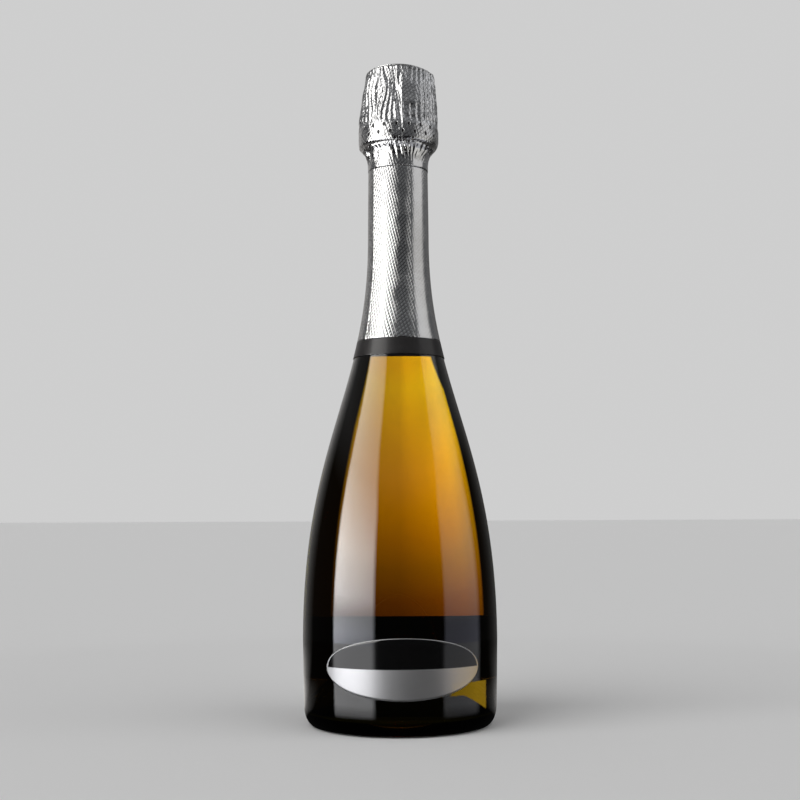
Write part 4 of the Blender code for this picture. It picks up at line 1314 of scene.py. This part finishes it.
def hoodLean(turn, height):
    # The foil stands off more at the sides, and most on the right towards the top
    h = hood
    right, left = (np.clip(way * np.cos(turn), 0, 1) ** 1.5 for way in (1, -1))
    right = right * sum(by * ramped(height, low, high) for low, high, by in (h["leanLow"], h["leanHigh"]))
    full, gone = h["leanEnds"]
    left = left * h["leanLeftBy"] * within(height, *h["leanLeft"])
    return right * ramped(-height, -gone, -full) + left


def makeHood():
    h = hood
    path = hoodPath()
    height = path[:, 1:2]
    turn = fullTurn(h["columns"])[None, :]
    radius = path[:, :1] + hoodRelief(turn, height) + hoodLean(turn, height)
    clear = np.maximum(radius, hoodFloor(turn, height) + foil["thickness"])
    radius = np.where(height < h["top"] - 0.0002, clear, radius)
    shell = sheetObject("hoodFoil", roundAxis(radius, turn, height), foil["thickness"], closed=True)
    material = makeFoilMaterial("crumpledFoil", 0.00009, (260.0, 0.00012), pierced=True)
    dressed(shell, material, "hood", "silver_foil", "capsule_hood")
    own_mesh(shell)
    return material


def makeHoodDisc(material):
    h = hood
    low, high = h["top"] + 0.00035, h["top"] + 0.0010
    radius = h["discRadius"]
    side = (radius - 0.0006, high - 0.0003)
    outline = joined(
        [(0, high)],
        bezier((0.0001, high), (0.006, high), (0.011, high - 0.0001), side, 16),
        arc((radius - 0.0006, high - 0.0006), 0.0006, 0.0003, 80, -60, 6),
        [(radius - 0.0012, low), (0, low)],
    )
    disc = turnedObject("hoodDisc", outline, 160)
    dressed(disc, material, "hood", "silver_foil", "capsule_top_disc")
    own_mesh(disc)


# Cork of pressed granules with two discs of natural cork under its stem
cork = {
    "reach": 0.0240,
    "disc": 0.0057,
    "fit": 0.0003,
    "stem": 0.0087,
    "chamfer": 0.0006,
    "head": 0.0155,
    "headHeight": 0.0150,
    "headRound": 0.0032,
    "segments": 160,
    "browns": [(0.15, (0.11, 0.055, 0.024)), (0.40, (0.31, 0.175, 0.085)), (0.75, (0.50, 0.32, 0.17))],
    "golds": [(0.10, (0.26, 0.15, 0.07)), (0.30, (0.46, 0.30, 0.16)), (0.80, (0.60, 0.43, 0.26))],
}


def makeCorkMaterial(name, stops, scale, depth):
    # Granules: every cell of a Voronoi has its own brown, and its edges lie lower
    material, tree, shader = startMaterial(name)
    values = {"Vector": objectPlace(tree)[0], "Scale": scale}
    cells = addNode(tree, "ShaderNodeTexVoronoi", values)
    edges = addNode(tree, "ShaderNodeTexVoronoi", values, feature="DISTANCE_TO_EDGE")
    shade = addNode(tree, "ShaderNodeSeparateColor", {0: cells.outputs["Color"]}).outputs[0]
    pores = grainOf(tree, scale * 4.0, 4.0)
    mixed = maths(tree, "MULTIPLY_ADD", pores, 0.45, times(tree, shade, 0.55))
    setShader(shader, baseColor=rampOf(tree, mixed, stops), roughness=0.88)
    shader.inputs["Specular IOR Level"].default_value = 0.25
    low = rangeOf(tree, edges.outputs["Distance"], 0.0, 0.12)
    setShader(shader, normal=bumpOf(tree, pores, depth, 0.5, bumpOf(tree, low, depth, 0.6)))
    return material


def waverCork(radius, height, turn):
    # Pressed cork is a little uneven: it only ever draws in from the turned outline
    share = (height - 0.29) / 0.04
    return radius * (1 - 0.004 * (1 + wavyNoise(turn / math.tau, share, 9, 5, 31))), height


def straight(start, end):
    return np.linspace(start, end, 9)


def makeCork():
    c = cork
    head, rim, radius = c["head"], c["stem"], c["headRound"]
    stemLow = glass["brim"] - c["reach"] + 2 * (c["disc"] + c["fit"])
    headLow = glass["brim"] + c["fit"]
    top = headLow + c["headHeight"]
    outline = joined(
        [(0, top), (0.006, top), (0.0116, top)],
        arc((head - radius, top - radius), radius - 0.0003, radius - 0.0002, 82, 8, 9),
        straight((head, glass["brim"] + 0.0108), (head, headLow + 0.0022)),
        arc((head - 0.0016, headLow + 0.0018), 0.0016, 0.0018, -20, -90, 6),
        [(rim + 0.0012, headLow), (rim + 0.0004, headLow - 0.0003)],
        straight((rim, headLow - 0.0012), (rim, stemLow + 0.0003)),
        [(rim - 0.0003, stemLow), (0.004, stemLow), (0, stemLow)],
    )
    body = turnedObject("corkBody", outline, c["segments"], waverCork)
    granules = makeCorkMaterial("granuleCork", c["browns"], 560.0, 0.00012)
    dressed(body, granules, "cork", "cork", "cork_body")
    natural = makeCorkMaterial("naturalCork", c["golds"], 1500.0, 0.00005)
    low = glass["brim"] - c["reach"]
    for name, node, foot, chamfer in (
        ("corkDiscUpper", "cork_disc_upper", low + c["disc"] + c["fit"], 0.00015),
        ("corkDiscLower", "cork_disc_lower", low, c["chamfer"]),
    ):
        edge = foot + c["disc"]
        outline = [(0, edge), (rim - 0.0015, edge), (rim - 0.00015, edge), (rim, edge - 0.00015)]
        outline += [(rim, foot + chamfer), (rim - chamfer, foot), (rim - 0.0015, foot), (0, foot)]
        disc = turnedObject(name, outline, c["segments"])
        dressed(disc, natural, "cork", "natural_cork", node)


# Wire cage: a pressed cap, a ring on it, four twisted legs hooked round a belt, and the key
cage = {
    "capRadius": 0.0150,
    "capSheet": 0.00025,
    "plateau": 0.0118,
    "capRim": 0.32989,
    "capTop": 0.33109,
    "capSkirt": 0.0016,
    "capBend": 0.0006,
    "beadRadius": 0.0092,
    "beadDepth": 0.00016,
    "beadWidth": 0.0004,
    "dish": (0.0074, 0.0080),
    "dishDepth": 0.00012,
    "grooveRound": 0.0003,
    "fit": 0.00034,
    "legWire": 0.0007,
    "legSlim": 0.96,
    "wireStep": 0.00022,
    "beltStep": 0.00035,
    "keyStep": 0.00028,
    # The domed ends of a wire: how far past its end, and how wide, over its radius
    "dome": [(0.48, 0.5), (0.128, 0.85)],
    "ringWire": 0.0009,
    "pitch": 0.0075,
    "hookShare": 0.48,
    "beltRadius": 0.016802,
    "beltHeight": 0.2937,
    "beltDrop": 0.0017,
    "stemStart": 0.018042,
    "stemLength": 0.0014,
    "keyRadius": 0.01884,
    "shankFoot": 0.29494,
    "shankLength": 0.0100,
    "loopLength": 0.0125,
    "loopWidth": 0.0094,
    "loopLean": 0.0012,
    "loopFoot": 0.35,
    "loopStart": 0.26,
    "sides": 12,
}


def makeSteelMaterial(name, shade, rough, depth):
    # Bright steel with fine drawn grain
    material, tree, shader = startMaterial(name)
    grain, worn = grainOf(tree, 1800.0, 3.0), grainOf(tree, 180.0, 2.0)
    colour = rampOf(tree, worn, [(0.0, shade * 0.86), (1.0, shade)])
    setShader(shader, baseColor=colour, metallic=1.0)
    setShader(shader, roughness=rangeOf(tree, worn, 0.0, 1.0, rough, rough + 0.12))
    setShader(shader, normal=bumpOf(tree, grain, depth, 0.3))
    return material


def makeCap(material):
    # The cap: a stamped bead and a flat middle on the plateau, a groove for the ring, a skirt
    c = cage
    sheet, bend, rim, top = c["capSheet"], c["capBend"], c["capRim"], c["capTop"]
    groove = c["grooveRound"]
    plateau, radius, skirtLow = c["plateau"], c["capRadius"], c["capRim"] - c["capSkirt"]
    reach = np.linspace(0.0002, plateau - bend - 0.0001, 30)
    dished, flat = c["dish"]
    dip = -c["beadDepth"] * bellOf(reach - c["beadRadius"], c["beadWidth"])
    dip = dip - c["dishDepth"] * ramped(-reach, -flat, -dished)
    over = np.stack([reach, top + dip], axis=1)
    cap = turnedObject("cageCap", joined(
        [(0, top - c["dishDepth"])],
        over,
        arc((plateau - bend, top - bend), bend, bend, 88, 4, 7),
        arc((plateau + groove, rim + groove), groove, groove, 180, 270, 5),
        arc((radius - bend, rim - bend), bend, bend, 90, 0, 7),
        [(radius, skirtLow), (radius - sheet, skirtLow)],
        arc((radius - bend, rim - bend), bend - sheet, bend - sheet, 0, 90, 7),
        [(plateau - sheet, rim - sheet)],
        arc((plateau - bend, top - bend), bend - sheet, bend - sheet, 0, 90, 7),
        over[::-1] - np.array([0.0, sheet]),
        [(0, top - c["dishDepth"] - sheet)],
    ), 144)
    dressed(cap, material, "cage", "cap_metal", "cage_cap")


def squareTo(path, side):
    # Two unit vectors square to the path at each point, the first as near side as can be
    along = np.gradient(path, axis=0)
    along /= np.linalg.norm(along, axis=1, keepdims=True)
    first = side - (along @ side)[:, None] * along
    first /= np.linalg.norm(first, axis=1, keepdims=True)
    return first, np.cross(along, first)


def tubeOf(path, radius, side, closed=False):
    # Points and faces of a round tube along a path; an open tube ends in small domes
    width = np.full(len(path) + (0 if closed else 4), radius)
    if closed:
        doubled = np.concatenate([path[-2:], path, path[:2]])
        first, second = (vectors[2:-2] for vectors in squareTo(doubled, side))
    else:
        first, second = (np.pad(vectors, ((2, 2), (0, 0)), "edge") for vectors in squareTo(path, side))
        past, narrow = radius * np.array(cage["dome"]).T
        start, finish = (
            end + (end - inner) / np.linalg.norm(inner - end) * past[:, None]
            for end, inner in ((path[0], path[1]), (path[-1], path[-2]))
        )
        path = np.concatenate([start, path, finish[::-1]])
        width[:2], width[-2:] = narrow, narrow[::-1]
    turn = fullTurn(cage["sides"])
    ring = np.cos(turn)[:, None] * first[:, None, :] + np.sin(turn)[:, None] * second[:, None, :]
    points = (path[:, None, :] + width[:, None, None] * ring).reshape(-1, 3)
    faces = [gridFaces(len(path), len(turn), True, looped=closed)]
    if closed:
        return points, faces
    count, around = len(points), np.arange(len(turn))
    following = np.roll(around, -1)
    last = count - len(turn)
    points = np.concatenate([points, path[:1], path[-1:]])
    faces.append(np.stack([np.full(len(turn), count), following, around], axis=1))
    faces.append(np.stack([np.full(len(turn), count + 1), last + around, last + following], axis=1))
    return points, faces


def wireObject(name, *tubes):
    # Several tubes in one mesh, each facing outwards
    points, faceSets, count = [], [], 0
    for tubePoints, tubeFaces in tubes:
        volume = sum(signedVolume(tubePoints, faces) for faces in tubeFaces)
        for faces in tubeFaces:
            faceSets.append((faces[:, ::-1] if volume < 0 else faces) + count)
        points.append(tubePoints)
        count += len(tubePoints)
    return meshObject(name, np.concatenate(points), faceSets, outwards=False)


def strandsOf(path, side, reach):
    # Two strands round a path, opposite each other, turning once in every pitch
    first, second = squareTo(path, side)
    phase = (math.tau * lengthAlong(path) / cage["pitch"])[:, None]
    offset = reach * (np.cos(phase) * first + np.sin(phase) * second)
    return path + offset, path - offset


def makeLeg(number, material):
    # One wire folded at the ring: its halves twist down the leg, one ends above the belt and
    # the other goes on round it
    c = cage
    degrees = 45.0 + 90.0 * (number - 1)
    across, inwards = atAngle(1.0, 0.0, degrees + 90), atAngle(-1.0, 0.0, degrees)
    wire, fit, rim = c["legWire"], c["fit"], c["capRim"]
    hookReach = c["ringWire"] / 2 + fit + c["hookShare"] * wire
    overRing = glass["ringRadius"] + fit + wire
    topRadius = c["plateau"] + fit + c["ringWire"] + fit
    side = np.array([
        (topRadius + wire, rim + fit + wire),
        (c["capRadius"] - 0.0004, rim + fit + wire),
        (c["capRadius"] + fit + 0.6 * wire, rim + fit + 0.3 * wire),
        (c["capRadius"] + fit + wire, rim - c["capBend"]),
        (cork["head"] + fit + wire, glass["brim"] + cork["headHeight"] / 2),
        (overRing, glass["ringTop"]),
        (overRing, glass["ringBottom"] + 0.0024),
        (c["beltRadius"] + hookReach + 0.0006, c["beltHeight"] + c["beltDrop"] + 0.0002),
    ])
    path = evened(atAngle(side[:, 0], side[:, 1], degrees), passes=6)
    held, loose = strandsOf(path, across, wire / 2)
    fold = np.linspace(0, math.pi, 9)[1:-1, None]
    bend = path[0] + wire / 2 * (np.cos(fold) * across + np.sin(fold) * inwards)
    hook = arc((c["beltRadius"], c["beltHeight"]), hookReach, hookReach, 10, -190, 26)
    hook = atAngle(hook[:, 0], hook[:, 1], degrees)
    turned = np.concatenate([held[-1:], held[-1:] * 0.35 + hook[:1] * 0.65, hook])
    turned = evened(turned, c["wireStep"], 3)
    whole = evened(np.concatenate([loose[::-1], bend[::-1], held, turned[1:]]), c["wireStep"], 1)
    leg = wireObject(f"cageLeg{number}", tubeOf(whole, c["legSlim"] * wire / 2, across))
    dressed(leg, material, "cage", "wire", f"cage_leg_{number}")


def makeCage(wire):
    c = cage
    thick = c["ringWire"] / 2
    upright = np.array([0.0, 0.0, 1.0])
    place = (c["plateau"] + c["fit"] + thick, c["capRim"] + c["fit"] + thick)
    ring = atAngle(*place, np.linspace(0, 360, 121)[:-1])
    top = wireObject("cageTopRing", tubeOf(ring, thick, upright, closed=True))
    dressed(top, wire, "cage", "wire", "cage_top_ring")
    for number in (1, 2, 3, 4):
        makeLeg(number, wire)
    halfGap = (c["ringWire"] + c["fit"]) / 2
    turn = math.degrees(2 * halfGap / c["beltRadius"])
    belt = atAngle(c["beltRadius"], c["beltHeight"], np.linspace(90 + turn, 450 - turn, 150))
    ends = [np.array([[way * halfGap, c["beltRadius"] + 2 * thick, c["beltHeight"]]]) for way in (-1, 1)]
    path = evened(np.concatenate([ends[0], belt, ends[1]]), c["beltStep"], 2)
    dressed(wireObject("cageBelt", tubeOf(path, thick, upright)), wire, "cage", "wire", "cage_belt")


def makeKey(wire):
    # The stem is a short twist out of the belt; the key is one wire, twisted up its shank and
    # opened into the loop for the fingers
    c = cage
    thick = c["ringWire"] / 2
    sideways, outwards = np.array([1.0, 0.0, 0.0]), np.array([0.0, 1.0, 0.0])
    reach = c["stemStart"] + np.linspace(0, c["stemLength"], 9)
    strands = strandsOf(atAngle(reach, c["beltHeight"], 90), sideways, thick)
    stem = wireObject("keyStem", *(tubeOf(strand, thick, sideways) for strand in strands))
    dressed(stem, wire, "key_stem", "wire", "key_stem")
    top = c["shankFoot"] + c["shankLength"]
    shank = atAngle(c["keyRadius"], np.linspace(top, c["shankFoot"], 60), 90)
    left, right = strandsOf(shank, sideways, thick)
    turn = np.linspace(c["loopStart"], math.tau - c["loopStart"], 90)
    rise = (1 - np.cos(turn)) / 2
    opening = c["loopFoot"] + (1 - c["loopFoot"]) * np.sin(turn / 2)
    across = np.sin(turn) * c["loopWidth"] / 2 * opening
    lean = c["keyRadius"] - c["loopLean"] * rise**1.5
    loop = atAngle(lean, top - thick + c["loopLength"] * rise, 90 - np.degrees(across / lean))
    whole = evened(np.concatenate([left[::-1], loop[1:-1], right]), c["keyStep"], 3)
    dressed(wireObject("keyLoop", tubeOf(whole, thick, outwards)), wire, "key", "wire", "key_loop")


makeWorld()
makeFloor()
makeLamp("keyLamp", (-0.8, -0.7, 0.9), 50.0, 1.3)
makeLamp("fillLamp", (0.9, -0.5, 0.8), 60.0, 0.6)
makePanelRing()
makeWindowRing()
makeCards()
print("stage: studio ready")
makeGlass()
makeWine()
print("stage: glass and wine ready")
makeFrontLabel()
makeBackLabel()
print("stage: labels ready")
makeSkirt()
makeBand()
makeHoodDisc(makeHood())
print("stage: foil ready")
makeCork()
makeCap(makeSteelMaterial("capPlate", 0.72, 0.16, 0.00001))
wireSteel = makeSteelMaterial("brightWire", 0.66, 0.22, 0.000015)
makeCage(wireSteel)
makeKey(wireSteel)
print("stage: cork, cap and wires ready")

bpy.context.scene.view_settings.view_transform = "Standard"
